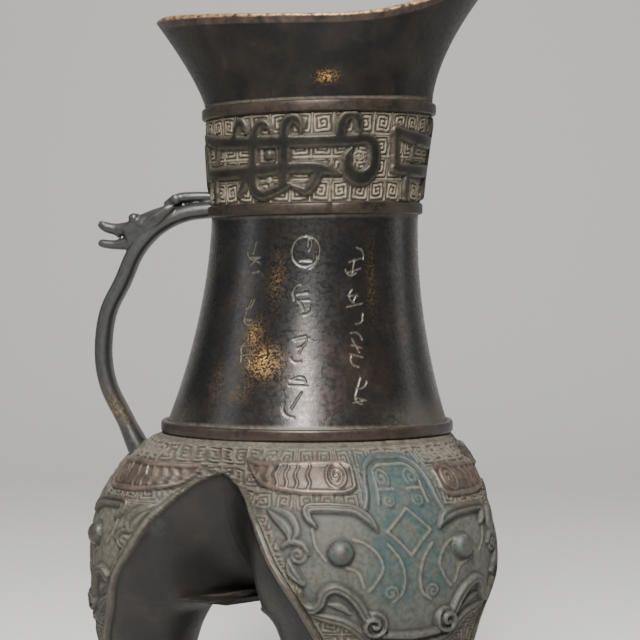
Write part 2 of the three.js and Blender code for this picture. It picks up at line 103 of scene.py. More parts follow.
def add_node(tree, kind, links=None, **settings):
    """Add a node with its settings; links give each input a value or the output that feeds it."""
    node = tree.nodes.new(kind)
    for name, value in settings.items():
        setattr(node, name, value)
    for socket, source in (links or {}).items():
        if isinstance(source, bpy.types.NodeSocket):
            tree.links.new(source, node.inputs[socket])
        else:
            node.inputs[socket].default_value = source
    return node


def make_floor():
    side, wall_at, wall_height, bend = 3.0, 1.6, 2.4, 0.5
    profile = [(-side, 0.0), (wall_at - bend, 0.0)]
    for step in range(1, 13):
        turn = math.pi / 2 * step / 12
        profile.append((wall_at - bend + bend * math.sin(turn), bend - bend * math.cos(turn)))
    profile.append((wall_at, wall_height))
    corners = [(x, y, z) for y, z in profile for x in (-side, side)]
    faces = [(2 * k, 2 * k + 1, 2 * k + 3, 2 * k + 2) for k in range(len(profile) - 1)]
    mesh = bpy.data.meshes.new("floor")
    mesh.from_pydata(corners, [], faces)
    for face in mesh.polygons:
        face.use_smooth = True
    paper = bpy.data.materials.new("matt_paper")
    paper.use_nodes = True
    shader = paper.node_tree.nodes["Principled BSDF"]
    shader.inputs["Base Color"].default_value = linear("#c9c8c5")
    shader.inputs["Roughness"].default_value = 0.9
    mesh.materials.append(paper)
    floor = add_object("floor", mesh)


make_camera()
softbox("key", (-10, -700, 820), (0, 0, 190), (90, 700), 33, (1.0, 0.99, 0.98))
softbox("left_fill", (-900, -300, 480), (0, 0, 150), (300, 600), 2, (0.95, 0.97, 1.0))
softbox("right_rim", (800, 250, 330), (0, 0, 150), (140, 900), 1.2, (1.0, 1.0, 1.0))
softbox("top", (0, -100, 1100), (0, 0, 0), (700, 700), 4.5, (1.0, 1.0, 1.0))
softbox("backdrop", (0, 900, 1500), (0, 1500, 300), (1600, 500), 7, (1.0, 1.0, 1.0))
make_floor()
world = bpy.data.worlds.new("studio")
world.use_nodes = True
world.node_tree.nodes["Background"].inputs["Color"].default_value = linear("#d8dadd")
world.node_tree.nodes["Background"].inputs["Strength"].default_value = 0.2
bpy.context.scene.world = world


# Cast bronze.
# A dark tin bronze left as it was cast: a satin brown-black skin, pale earth held in every recess,
# red-brown where handling has worn the high edges, and blue-green and ochre corrosion in places.
# Painted shade darkens the concave corners of the relief, and a painted highlight lightens its convex edges.
BRONZE_DARK = "#1b1b1b"
BRONZE_BROWN = "#2a241f"
WORN_RED = "#5a4b41"
WORN_BRASS = "#a4835c"
EARTH = "#534e42"
EARTH_DARK = "#353027"
TEAL = "#243839"
TEAL_DARK = "#1a2b2b"
OCHRE = "#9c7638"
SOOT = "#141311"
# The next two are painted shade for concave corners, and a pale tone for rubbed wear with a painted
# highlight on convex edges.
PAINTED_SHADE = "#191613"
RUBBED_EDGE_AND_HIGHLIGHT = "#887f6c"
MOTTLE_MM = 14.0
PATCH_MM = 5.6
SPECK_MM = 1.6
CRUMB_MM = 0.8
GRAIN_MM = 0.45
SKIN_DEPTH_MM = 0.18


def cast_bronze(name, dark, rough, shine=0.45, brown=BRONZE_BROWN):
    """Bronze whose earth, wear, polish, teal, ochre, cavities and edges follow the piece's own marks;
    cavities take painted shade, edges a painted highlight with rubbed wear.
    """
    material = bpy.data.materials.new(name)
    material.use_nodes = True
    tree = material.node_tree
    shader = tree.nodes["Principled BSDF"]
    where = add_node(tree, "ShaderNodeTexCoord").outputs["Object"]

    def noise(size_mm, detail, roughness=0.55):
        links = {"Vector": where, "Scale": 1000.0 / size_mm, "Detail": detail, "Roughness": roughness}
        return add_node(tree, "ShaderNodeTexNoise", links).outputs["Fac"]

    def span(source, low, high, to_low=0.0, to_high=1.0):
        links = {"Value": source, "From Min": low, "From Max": high, "To Min": to_low, "To Max": to_high}
        return add_node(tree, "ShaderNodeMapRange", links).outputs["Result"]

    def maths(operation, first, second=0.0):
        links = {0: first, 1: second}
        return add_node(tree, "ShaderNodeMath", links, operation=operation, use_clamp=True).outputs[0]

    def painted(under, over, share):
        links = {0: share, 6: under, 7: over}
        return add_node(tree, "ShaderNodeMix", links, data_type="RGBA", blend_type="MIX").outputs[2]

    def carried(attribute):
        return add_node(tree, "ShaderNodeAttribute", attribute_name=attribute).outputs["Fac"]

    mottle = noise(MOTTLE_MM, 6.0)
    speck = noise(SPECK_MM, 5.0)
    grain = noise(GRAIN_MM, 3.0)
    patch = noise(PATCH_MM, 8.0, 0.65)
    crumb = noise(CRUMB_MM, 4.0, 0.7)

    colour = painted(linear(dark), linear(brown), span(mottle, 0.42, 0.66, 0.0, 0.6))
    colour = painted(colour, linear(SOOT), span(speck, 0.6, 0.75, 0.0, 0.6))
    wear = maths("MULTIPLY", carried("wear"), span(patch, 0.3, 0.62))
    colour = painted(colour, linear(WORN_RED), wear)
    polished = maths("MULTIPLY", carried("polish"), span(speck, 0.35, 0.6))
    colour = painted(colour, linear(WORN_BRASS), polished)
    earth = maths("MULTIPLY", carried("earth"), span(patch, 0.22, 0.5, 0.72, 1.0))
    dust = maths("MULTIPLY", span(patch, 0.56, 0.76), span(mottle, 0.42, 0.65, 0.0, 0.25))
    earth = maths("MAXIMUM", earth, dust)
    earth_tone = painted(linear(EARTH_DARK), linear(EARTH), span(speck, 0.3, 0.6))
    colour = painted(colour, earth_tone, earth)
    teal = maths("MULTIPLY", carried("teal"), span(patch, 0.36, 0.6, 0.35, 0.95))
    teal_tone = painted(linear(TEAL_DARK), linear(TEAL), span(speck, 0.32, 0.64))
    colour = painted(colour, teal_tone, teal)
    ochre = maths("MULTIPLY", carried("ochre"), span(crumb, 0.48, 0.58))
    colour = painted(colour, linear(OCHRE), ochre)

    # Painted shade: the cavity mark darkens the relief's concave corners.
    colour = painted(colour, linear(PAINTED_SHADE), maths("MULTIPLY", carried("cavity_shade"), 0.5))
    # The edge mark paints a highlight on convex edges, mixed with rubbed wear, and gives pale lines and cut
    # strokes their own pale colour.
    lightened = maths("MULTIPLY", carried("edge"), span(speck, 0.3, 0.6, 0.3, 0.75))
    colour = painted(colour, linear(RUBBED_EDGE_AND_HIGHLIGHT), lightened)

    skin = maths("MAXIMUM", maths("MAXIMUM", earth, ochre), maths("MULTIPLY", teal, 0.75))
    metal = maths("SUBTRACT", 0.5, maths("MULTIPLY", skin, 0.45))
    gloss = maths("ADD", span(speck, 0.3, 0.7, rough - 0.06, rough + 0.1), maths("MULTIPLY", skin, 0.34))
    height = maths("ADD", maths("MULTIPLY", grain, 0.4), maths("MULTIPLY", speck, 0.6))
    relief = {"Height": height, "Strength": 0.5, "Distance": SKIN_DEPTH_MM * 0.001}
    bump = add_node(tree, "ShaderNodeBump", relief)
    tree.links.new(colour, shader.inputs["Base Color"])
    tree.links.new(metal, shader.inputs["Metallic"])
    tree.links.new(gloss, shader.inputs["Roughness"])
    tree.links.new(bump.outputs["Normal"], shader.inputs["Normal"])
    shader.inputs["Specular IOR Level"].default_value = shine
    return material


# Pouch legs.
# Three hollow legs, each cast with a beast's mask on its bulging face: horns, boss eyes and a toothed
# jaw, two feathered tabs above it and a stepped moulding along the arch that it shares with the next leg.
LEG_HEIGHT = 131.5
SHOULDER_RADIUS = 51.8
POUCH_REACH = 77.6
FOOT_RADIUS = 9.0
FOOT_REACH = 58.0
CROTCH_HEIGHT = 74.0
WALL = 2.6
UP = CROTCH_HEIGHT / LEG_HEIGHT
COLLAR = SHOULDER_RADIUS / POUCH_REACH
FOOT = FOOT_REACH / POUCH_REACH
TIP = FOOT_RADIUS / POUCH_REACH
# The spout's tip is the vessel's farthest point, so the frame's own box gives the axis
SPOUT_TIP_X = 76.3
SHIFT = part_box("vessel")[1][0] * 1000 - SPOUT_TIP_X
# A place on the carved face is measured along a round of this radius
FACE_RADIUS = 72.0
MM_PER_DEGREE = math.radians(FACE_RADIUS)
FRET_CELL = (7.54, 6.6)
FRET_START_Z = 57.3
FRET_TURNS = 2.7


def set_marks(mesh, marks):
    """One number per corner of the mesh for each named mark, which the bronze reads."""
    for mark, values in marks.items():
        layer = mesh.attributes.new(mark, "FLOAT", "POINT")
        layer.data.foreach_set("value", np.ascontiguousarray(values, np.float32))


def plain_piece(name, corners, faces, material, marks, smooth):
    """A mesh in metres from points in millimetres, with one number per corner for each named mark.
    The first faces are smooth, as many as said; the rest are the flat ends where it meets its neighbours."""
    mesh = bpy.data.meshes.new(name)
    mesh.from_pydata((np.asarray(corners) * 0.001).tolist(), [], faces)
    set_marks(mesh, marks)
    mesh.polygons.foreach_set("use_smooth", [k < smooth for k in range(len(faces))])
    mesh.materials.append(material)
    return add_object(name, mesh)


def both_skins(grid, inner_count, inner=0.0):
    """A mark's numbers for the outer skin, and one number for all of the inner skin."""
    return np.concatenate([grid.ravel(), np.full(inner_count, inner)])


def corners_of(height):
    """Concave corners, which take painted shade, and convex edges, which take a painted highlight with
    rubbed wear, of a relief given as a grid of heights.
    """
    near = height
    for axis in (0, 1):
        near = (np.roll(near, 1, axis) + np.roll(near, -1, axis) + 2 * near) / 4
        near = (np.roll(near, 2, axis) + np.roll(near, -2, axis) + 2 * near) / 4
    return np.clip((near - height) / 0.22, 0, 1), np.clip((height - near) / 0.22, 0, 1)


def settle(piece):
    """The piece belongs to the casting, so it rides on the root and stands for the vessel's solid."""
    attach(piece, "root")
    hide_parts("vessel")


# The clay moulds were carved by hand, so every raised band has soft edges, made by this curve
def ease(values):
    values = np.clip(values, 0, 1)
    return values * values * (3 - 2 * values)


def smooth_path(points, steps):
    """A centripetal curve through points."""
    points = np.asarray(points, float)
    ends = np.concatenate([[2 * points[0] - points[1]], points, [2 * points[-1] - points[-2]]])
    knots = np.concatenate([[0], np.cumsum(np.linalg.norm(np.diff(ends, axis=0), axis=1) ** 0.5)])
    route = []
    for t in np.linspace(0, len(points) - 1, steps):
        k = min(int(t), len(points) - 2)
        p, q = ends[k:k + 4], knots[k:k + 4]
        at = q[1] + (t - k) * (q[2] - q[1])
        a = [((q[j + 1] - at) * p[j] + (at - q[j]) * p[j + 1]) / (q[j + 1] - q[j]) for j in range(3)]
        b = [((q[j + 2] - at) * a[j] + (at - q[j]) * a[j + 1]) / (q[j + 2] - q[j]) for j in range(2)]
        route.append(((q[2] - at) * b[0] + (at - q[1]) * b[1]) / (q[2] - q[1]))
    return np.array(route)


def raised(x, y, path, height, edge=0.5):
    """Height in millimetres of a flat band along a smooth path through [x, y, width] places."""
    path = smooth_path(path, 4 * len(path) - 3)
    reach = path[:, 2].max() / 2 + edge
    low, high = path[:, :2].min(0) - reach, path[:, :2].max(0) + reach
    near = (x > low[0]) & (x < high[0]) & (y > low[1]) & (y < high[1])
    px, py = x[near], y[near]
    best = np.full(px.shape, -reach)
    for (ax, ay, aw), (bx, by, bw) in zip(path[:-1], path[1:]):
        length = max((bx - ax) ** 2 + (by - ay) ** 2, 1e-9)
        t = np.clip(((px - ax) * (bx - ax) + (py - ay) * (by - ay)) / length, 0, 1)
        gap = np.hypot(px - ax - t * (bx - ax), py - ay - t * (by - ay))
        best = np.maximum(best, (aw + t * (bw - aw)) / 2 - gap)
    band = np.zeros(np.shape(x))
    band[near] = height * ease(best / edge + 0.5)
    return band


def curl(x, y, centre, radius, hand, height, pitch):
    """A round spiral line that fills a disc."""
    dx, dy = x - centre[0], y - centre[1]
    away = np.hypot(dx, dy)
    turn = np.arctan2(dy, dx) * hand
    wave = 0.5 + 0.5 * np.cos(2 * math.pi * (away / pitch - turn / (2 * math.pi)))
    return height * ease(1.6 * wave - 0.3) * ease((radius - away) / 0.5 + 0.5)


def dome(x, y, centre, radius, height):
    """A round boss."""
    away = np.hypot(x - centre[0], y - centre[1]) / radius
    return height * np.sqrt(np.clip(1 - away ** 2, 0, 1))


def fret(x, y, cell_x, cell_y, height):
    """Thunder pattern: rows of squared spirals, each turned the other way from its neighbour."""
    column, row = np.floor(x / cell_x), np.floor(y / cell_y)
    u = (x / cell_x - column - 0.5) * 2
    v = (y / cell_y - row - 0.5) * 2
    u = np.where((column + row) % 2 == 0, u, -u)
    away = (u ** 14 + v ** 14) ** (1 / 14)
    turn = np.arctan2(v, u)
    wave = 0.5 + 0.5 * np.cos(2 * math.pi * (away * FRET_TURNS - turn / (2 * math.pi)))
    spiral = ease(1.8 * wave - 0.4) * ease((0.86 - away) / 0.1 + 0.5)
    return height * np.maximum(spiral, ease((away - 0.93) / 0.08 + 0.5))


def between(low, high, share):
    return low + (high - low) * share


# Sections from shoulder to foot: outer height, outer reach, widest place along and across, heading there,
# inner height and inner reach, in shares of the leg's height and of the pouch's reach
LEG_SECTIONS = np.array([
    [1, COLLAR, 0.866 * COLLAR, 0.5 * COLLAR, 120, 1, COLLAR],
    [0.966, 0.754, 0.638, 0.393, 122, 0.966, 1.011 * COLLAR],
    [0.905, 0.87, 0.696, 0.474, 134, 0.905, 1.015 * COLLAR],
    [0.814, 0.96, 0.702, 0.548, 153, 0.814, 0.969 * COLLAR],
    [0.738, 0.99, 0.677, 0.575, 168, between(UP, 1, 0.383), 0.869 * COLLAR],
    [0.68, 1, 0.662, 0.567, 176, between(UP, 1, 0.209), 0.676 * COLLAR],
    [0.64, 0.999, 0.657, 0.545, 180, between(UP, 1, 0.07), 0.386 * COLLAR],
    [0.597, 0.996, 0.657, 0.518, 180, UP, 0],
    [0.567, 0.992, 0.668, 0.495, 180, 0.99 * UP, -0.232],
    [0.54, 0.987, 0.678, 0.474, 180, 0.957 * UP, -0.4],
    [0.479, 0.977, 0.696, 0.438, 180, 0.844 * UP, -0.482],
    [0.319, between(1, FOOT + TIP, 0.49), 0.98 * FOOT, 2.62 * TIP, 180, 0.319, 1.66 * TIP - FOOT],
    [0.106, between(1, FOOT + TIP, 0.93), FOOT, 1.3 * TIP, 180, 0.106, 1.07 * TIP - FOOT],
    [0, FOOT + TIP, FOOT, TIP, 180, 0, TIP - FOOT],
])
# The section at the crotch, below which a leg closes behind, and the place in the list where the hollow ends
CROTCH_SECTION = 7
HOLLOW_END = 11.6
# Azimuth of each leg, how much teal it carries, and how far its mask sits off the middle
LEGS = {"rear": (180, 0.35, 5.5), "near": (300, 1.0, 0), "far": (60, 0.45, 0)}


def through_rows(rows, at):
    """A smooth curve through rows of numbers that never overshoots them."""
    rise = np.diff(rows, axis=0)
    before, after = rise[:-1], rise[1:]
    slope = np.empty_like(rows)
    slope[0], slope[-1] = rise[0], rise[-1]
    both = np.where(before + after == 0, 1, before + after)
    slope[1:-1] = np.where(before * after > 0, 2 * before * after / both, 0)
    at = np.clip(np.asarray(at, float), 0, len(rows) - 1)
    low = np.minimum(at.astype(int), len(rows) - 2)
    t = (at - low)[:, None]
    start, end, gap = slope[low], slope[low + 1], rise[low]
    return rows[low] + t * start + t ** 2 * (3 * gap - 2 * start - end) + t ** 3 * (start + end - 2 * gap)


def arc_points(start, from_heading, end, to_heading, t):
    """A quarter turn between two points with given headings, for many sections at once."""
    turn = np.abs(to_heading - from_heading)
    safe = np.maximum(turn, 0.001)
    reach = np.minimum(np.where(turn > 0.001, (2 / 3) * np.tan(safe / 4) / np.sin(safe / 2), 1 / 3), 0.45)
    handle = (np.linalg.norm(end - start, axis=-1) * reach)[..., None]
    first = start + handle * np.stack([np.cos(from_heading), np.sin(from_heading)], -1)
    second = end - handle * np.stack([np.cos(to_heading), np.sin(to_heading)], -1)
    t = t[..., None]
    return (1 - t) ** 3 * start + 3 * (1 - t) ** 2 * t * first + 3 * (1 - t) * t ** 2 * second + t ** 3 * end


def leg_surface(stations, sides):
    """Points of a leg in its own axes, one row for each station and one column for each side place."""
    rows = through_rows(LEG_SECTIONS, stations)
    outer_z, outer, wide_n, wide_t, heading, inner_z, inner = (column[:, None] for column in rows.T)
    side = np.abs(np.asarray(sides))[None, :] + 0 * outer
    start = np.stack([outer + 0 * side, 0 * side], -1)
    wide = np.stack([wide_n + 0 * side, wide_t + 0 * side], -1)
    seam_n = np.where(inner > 0, inner / 2, -inner) + 0 * side
    seam_t = np.where(inner > 0, inner * math.sqrt(0.75), 0) + 0 * side
    seam = np.stack([seam_n, seam_t], -1)
    collar = np.asarray(stations)[:, None] < 1.5
    closing = np.where(collar, 150, 210 - 60 * np.tanh(inner * POUCH_REACH / 11))
    quarter = np.radians(90.0) + 0 * side
    heading = np.radians(heading) + 0 * side
    front = arc_points(start, quarter, wide, heading, np.clip(2 * side, 0, 1))
    back = arc_points(wide, heading, seam, np.radians(closing) + 0 * side, np.clip(2 * side - 1, 0, 1))
    spot = np.where((side < 0.5)[..., None], front, back)
    blend = side * side * (3 - 2 * side)
    across = spot[..., 1] * np.sign(np.asarray(sides))[None, :]
    return np.stack([
        spot[..., 0] * POUCH_REACH,
        across * POUCH_REACH,
        between(outer_z, inner_z, blend) * LEG_HEIGHT,
    ], -1)


def grid_normals(points):
    """Normals of a grid of points, by central differences."""
    down = np.gradient(points, axis=0)
    along = np.gradient(points, axis=1)
    normal = np.cross(down, along)
    length = np.linalg.norm(normal, axis=-1, keepdims=True)
    return normal / np.maximum(length, 1e-9)


# Where the face of a leg ends at the arch: shares of the leg's height, and degrees from its middle
ARCH_HEIGHTS = (0.28, 0.4, 0.46, 0.6, 0.71, 0.8, 0.855, 0.885, 0.907, 0.918, 0.93)
ARCH_TURNS = (11.5, 17, 20.5, 28.5, 36, 41, 45.5, 49.5, 55, 60, 66)
# Bands of the mask on one half of a leg: degrees from the middle, height in millimetres and share of the
# width, then the width and how far the band stands out
MASK_BANDS = (
    ([[24.4, 105.7, 0.3], [26.4, 108.6, 0.8], [26.7, 111, 1], [23.8, 111.5, 1], [19.3, 111.4, 1],
      [14.2, 110.6, 1], [11, 107.7, 0.9], [8.9, 104.1, 0.2]], 2.9, 1.7),
    ([[37.4, 110.8, 0.2], [34.5, 109.2, 0.8], [31.8, 107.2, 1.1], [30.3, 104.2, 0.9],
      [30.6, 101.6, 0.4]], 5.6, 1.3),
    ([[32.8, 99.2, 0.7], [31.2, 100.6, 1], [28, 100.2, 1], [26.2, 97.4, 0.8]], 1.7, 1.3),
    ([[31.2, 94.9, 0.3], [30.3, 91.2, 1], [27.6, 87.4, 0.4]], 3.2, 1.6),
    ([[28.4, 85, 0.4], [27.9, 80.9, 0.9], [25.4, 79, 1], [23.4, 80.9, 1], [22.6, 84.2, 1], [20.1, 86, 1],
      [17, 84.3, 1], [14.2, 80.6, 1.1], [12.2, 76, 1]], 2.6, 2.0),
    ([[25.4, 77.4, 0.7], [21, 75.6, 1], [17.3, 74.2, 1], [14, 71.2, 1], [11, 67.6, 1], [7, 66.2, 0.9],
      [0, 65.8, 0.9]], 2.6, 1.2),
    ([[21.4, 80.8, 0.3], [18.5, 79.8, 1], [16, 77.4, 0.3]], 2.0, 0.9),
    ([[7.6, 69.8, 0.8], [0, 69, 1]], 2.2, 1.6),
    ([[0, 58, 1], [3.5, 61, 1], [6.5, 57, 1], [4, 50, 0.6], [0, 47, 0.4]], 1.2, 0.8),
)
# Fine raised lines: degrees from the middle and height
MASK_LINES = (
    [[25.4, 104.8], [24.4, 99.1], [22.1, 95]],
    [[15.3, 101.5], [12.3, 100.1], [9.1, 96.4], [7.9, 92.2], [9.5, 87.7], [11.5, 84.5]],
    [[17, 92.6], [14.3, 90.9], [12.8, 85.9]],
    [[6.3, 99.5], [3.3, 94.4], [2.1, 88.4], [2.9, 83.2], [5.3, 80.6]],
    [[0, 110.8], [6.2, 103.6]],
    [[6.2, 103.6], [3, 99.9], [0, 95.6]],
    [[7.4, 112.4], [7, 117], [6.8, 122.6], [4.6, 124.3], [0, 124.4]],
    [[6.4, 116.9], [2.2, 116.9]],
)
# Curls: degrees from the middle, height, radius, hand and how far they stand out
MASK_CURLS = (
    (4.8, 120.4, 3.0, 1, 0.6), (4.5, 113.4, 2.3, -1, 0.5), (28.9, 96.6, 2.9, -1, 1.1),
    (10.2, 73.4, 4.4, -1, 2.7), (5.8, 83.6, 2.6, 1, 0.6),
)
# The cord round the crest, as the bands are written
CREST_EDGE = (
    [11.6, 110.6, 1], [10.6, 114, 1], [10, 120.6, 1], [8.6, 124.4, 1], [5, 126.6, 1], [0, 126.9, 1],
)
# Lower edge of the mask and both edges of the feathered tab: degrees from the middle, and heights. Then the
# tab's feathers in degrees, and the middle of its eye in millimetres
MASK_LOW = ((0, 11.4, 14, 17.3, 21, 25.4, 28, 32, 38), (65, 67, 70, 73, 75, 77, 84, 92, 108))
TAB_TOP = ((12.6, 13.4, 16, 22.5, 28.9, 41.9, 48.5), (122.6, 124.9, 126, 126, 125.7, 125.6, 126.6))
TAB_LOW = ((12.6, 14.1, 16.4, 28.6, 35.8, 40.3, 43.6, 47, 48.5),
           (117.6, 115.9, 115, 115.2, 116.3, 117.6, 120.2, 124.2, 126.6))
TAB_BARS = (41.2, 38.2, 35.4, 32.6, 29.7, 26.2)
TAB_EYE = (18.4 * MM_PER_DEGREE, 121.0)
EYE_TURNS = (-18.5, 15.6)
EYE_Z = 97.4
EYE_RADIUS = 4.1
EYE_LIFT = 3.5


def tab_depth(a, z):
    """How far a place lies inside the feathered tab, in millimetres."""
    ends = np.minimum(a - TAB_TOP[0][0], TAB_TOP[0][-1] - a) * MM_PER_DEGREE
    return np.minimum(np.minimum(np.interp(a, *TAB_TOP) - z, z - np.interp(a, *TAB_LOW)), ends)


def tab_relief(x, z, depth):
    """A raised plate with a sunk field that holds swaying feathers and an eye: a spiral in a ring."""
    field = ease((depth - 1.5) / 0.5)
    sway = 0.5 * np.sin((z - 120) * 1.3)
    ring = np.hypot(x - TAB_EYE[0], z - TAB_EYE[1])
    lines = np.maximum(curl(x, z, TAB_EYE, 2.5, 1, 1.0, 1.5), ease((0.45 - np.abs(ring - 3.5)) / 0.4 + 0.5))
    for bar in TAB_BARS:
        off_bar = np.abs(x - bar * MM_PER_DEGREE - sway)
        lines = np.maximum(lines, ease((0.45 - off_bar) / 0.4 + 0.5))
    return 1.5 * ease(depth / 0.7) - 0.7 * field + 0.55 * field * lines


def mask_relief(x, z, boss):
    """Crest, horns, jaws, fine lines and curls of the mask, and how pale its lines are."""
    def spots(path, width):
        return [[spot[0] * MM_PER_DEGREE, spot[1], width * (spot[2:] or [1])[0]] for spot in path]

    lift = raised(x, z, spots(CREST_EDGE, 1.5), 0.9)
    pale = np.zeros_like(z)
    for path, width, height in MASK_BANDS:
        band = raised(x, z, spots(path, width), height, 0.8)
        groove = raised(x, z, spots(path, width * 0.22), 0.45, 0.5) if width > 2.4 else 0
        lift = np.maximum(lift, band - groove)
    for line in MASK_LINES:
        cord = raised(x, z, spots(line, 0.75), 1, 0.4)
        lift = np.maximum(lift, 0.45 * cord)
        pale = np.maximum(pale, cord * (boss < 0.1))
    for angle, height, radius, hand, proud in MASK_CURLS:
        centre = (angle * MM_PER_DEGREE, height)
        body = 0.45 * proud * ease((radius - np.hypot(x - centre[0], z - centre[1])) / 0.8)
        lift = np.maximum(lift, body + curl(x, z, centre, radius, hand, 0.55 * proud, radius / 1.6))
    return lift, pale


def leg_relief(azimuth, z, slip):
    """Height of the relief on a leg, its earth, its wear, its teal and its pale lines. The mask may sit
    some degrees off the middle."""
    arch = np.interp(z, np.array(ARCH_HEIGHTS) * LEG_HEIGHT, ARCH_TURNS)
    rim_gap = (arch - np.abs(azimuth)) * MM_PER_DEGREE
    inside = ease((rim_gap - 2.4) / 0.8 + 0.5) * ease((129.8 - z) / 0.8 + 0.5)
    azimuth = azimuth - slip
    a = np.abs(azimuth)
    x = a * MM_PER_DEGREE
    boss = np.zeros_like(z)
    for turn in EYE_TURNS:
        eye = (turn * MM_PER_DEGREE, EYE_Z)
        boss = np.maximum(boss, dome(azimuth * MM_PER_DEGREE, z, eye, EYE_RADIUS, EYE_LIFT))
    fret_z = z - FRET_START_Z
    # The upper part of one half sits a little lower than the other's
    z = z + 2.3 * ease((azimuth - 9) / 6) * ease((z - 97) / 10) * ease((130 - z) / 6)
    mask = ease((111.5 - z) / 1.5) * ease((z - np.interp(a, *MASK_LOW)) / 1.5)
    crest = ease((11 - a) / 0.8) * ease((z - 109) / 2) * ease((127.5 - z) / 1.0)
    depth = tab_depth(a, z)
    lift, pale = mask_relief(x, z, boss)
    lift = np.maximum(np.maximum(lift, boss), np.maximum(tab_relief(x, z, depth), 0))
    ground = fret(x, fret_z, *FRET_CELL, 0.55) * (1 - np.maximum(mask, crest))
    ground = ground * (1 - ease((lift - 0.05) / 0.3))
    fade = ease((z - 0.26 * LEG_HEIGHT) / 18)
    outer_step = 1.5 * ease((1.25 - np.abs(rim_gap - 0.2)) / 0.45 + 0.1)
    inner_step = 0.8 * ease((0.55 - np.abs(rim_gap - 2.4)) / 0.4 + 0.1)
    moulding = np.maximum(outer_step, inner_step) * fade
    height = np.maximum((lift + ground) * inside * fade, moulding) * ease((130.9 - z) / 1.0)

    on_face = ease((rim_gap + 1.6) / 0.8)
    # Earth grows towards the top of the leg, so the face is darker lower down.
    earth_by_height = 0.65 * ease((z - 24) / 30) + 0.35 * ease((z - 58) / 30)
    proud = ease((height - 0.62) / 0.4)
    plate = ease(depth / 0.5)
    tone = np.maximum(0.8 + 0.2 * ease((height - 0.2) / 0.3), 0.9 * mask)
    earth = on_face * earth_by_height * tone * (1 - between(0.85, 0.5, mask) * proud) * (1 - 0.7 * plate)
    earth = earth * (1 - ease(boss / 0.6))
    # The tops of the bosses are rubbed to the worn tone.
    lightened = ease((boss - 0.8 * EYE_LIFT) / 0.6)
    worn = on_face * np.maximum(np.maximum(0.95 * plate, 0.6 * lightened), 0.25 * proud)
    middle = ease((17 - a) / 9) * ease((z - 70) / 14) * ease((128.5 - z) / 1.5)
    boss_teal = 0.9 * ease(boss / 1.5) * (1 - 0.7 * lightened)
    teal = on_face * np.maximum(np.maximum(middle, boss_teal), 0.5 * mask)
    pale = pale * on_face * inside
    return height, np.clip(earth, 0, 1), np.clip(worn, 0, 1), np.clip(teal, 0, 1), pale


def stitched(outer_ids, inner_ids):
    """Faces between a fine row of corners and a coarser one that starts and ends beside it."""
    step = (len(outer_ids) - 1) // (len(inner_ids) - 1)
    faces = []
    for k in range(len(outer_ids) - 1):
        faces.append((outer_ids[k], outer_ids[k + 1], inner_ids[(k + step // 2) // step]))
    for k in range(len(inner_ids) - 1):
        faces.append((inner_ids[k + 1], inner_ids[k], outer_ids[k * step + step // 2 + step % 2]))
    return faces


def grid_faces(ids, flipped=False):
    a, b, c, d = ids[:-1, :-1], ids[:-1, 1:], ids[1:, 1:], ids[1:, :-1]
    order = (a, b, c, d) if flipped else (a, d, c, b)
    return np.stack(order, -1).reshape(-1, 4).tolist()


LEG_COLUMNS = 160
COLUMN_STEP = 8


def leg_sides():
    """Column places: close together on the carved face, wider apart under the vault."""
    share = np.linspace(0, 1, LEG_COLUMNS + 1)
    half = np.interp(share, [0, 0.83, 1], [0, 0.55, 1])
    # The last column but one lies close to the seam and keeps its edge crisp
    half[-2] = 0.997
    return np.concatenate([-half[:0:-1], half])


def leg_stations():
    """Row places: about 0.45 mm apart down the carved face and coarser towards the foot."""
    fine = np.linspace(0, len(LEG_SECTIONS) - 1, 3000)
    middle = leg_surface(fine, [0.25])[:, 0]
    step = np.linalg.norm(np.diff(middle, axis=0), axis=1)
    spacing = np.interp(fine[:-1], [0, 10, 11, 13], [0.46, 0.5, 1.6, 2.6])
    count = np.concatenate([[0], np.cumsum(step / spacing)])
    wanted = np.interp(np.linspace(0, count[-1], int(count[-1]) + 1), count, fine)
    above = wanted[wanted < CROTCH_SECTION - 1e-6]
    below = wanted[wanted > CROTCH_SECTION + 1e-6]
    return np.concatenate([above, [CROTCH_SECTION], below])


def leg_faces(ids, inner_ids, crotch):
    """Faces of both skins, then of the joins at the collar and at the open sides; and how many are skin."""
    faces = grid_faces(ids) + grid_faces(inner_ids, flipped=True)
    smooth = len(faces)
    faces += stitched(ids[0], inner_ids[0])
    for end in (0, -1):
        wall = np.stack([ids[:crotch + 1, end], inner_ids[:crotch + 1, end]], 1)
        faces += grid_faces(wall, flipped=end == 0)
    return faces, smooth


def fanned(points, faces, loop):
    """Close a loop of corners with a fan to its middle."""
    faces += [(int(loop[k - 1]), int(loop[k]), len(points)) for k in range(len(loop))]
    return np.concatenate([points, [points[loop].mean(0)]])


def without_spares(points, faces, marks):
    """Drop the corners that no face uses."""
    used = np.zeros(len(points), bool)
    used[[corner for face in faces for corner in face]] = True
    kept = (np.cumsum(used) - 1).tolist()
    faces = [tuple(kept[corner] for corner in face) for face in faces]
    return points[used], faces, {mark: values[used] for mark, values in marks.items()}


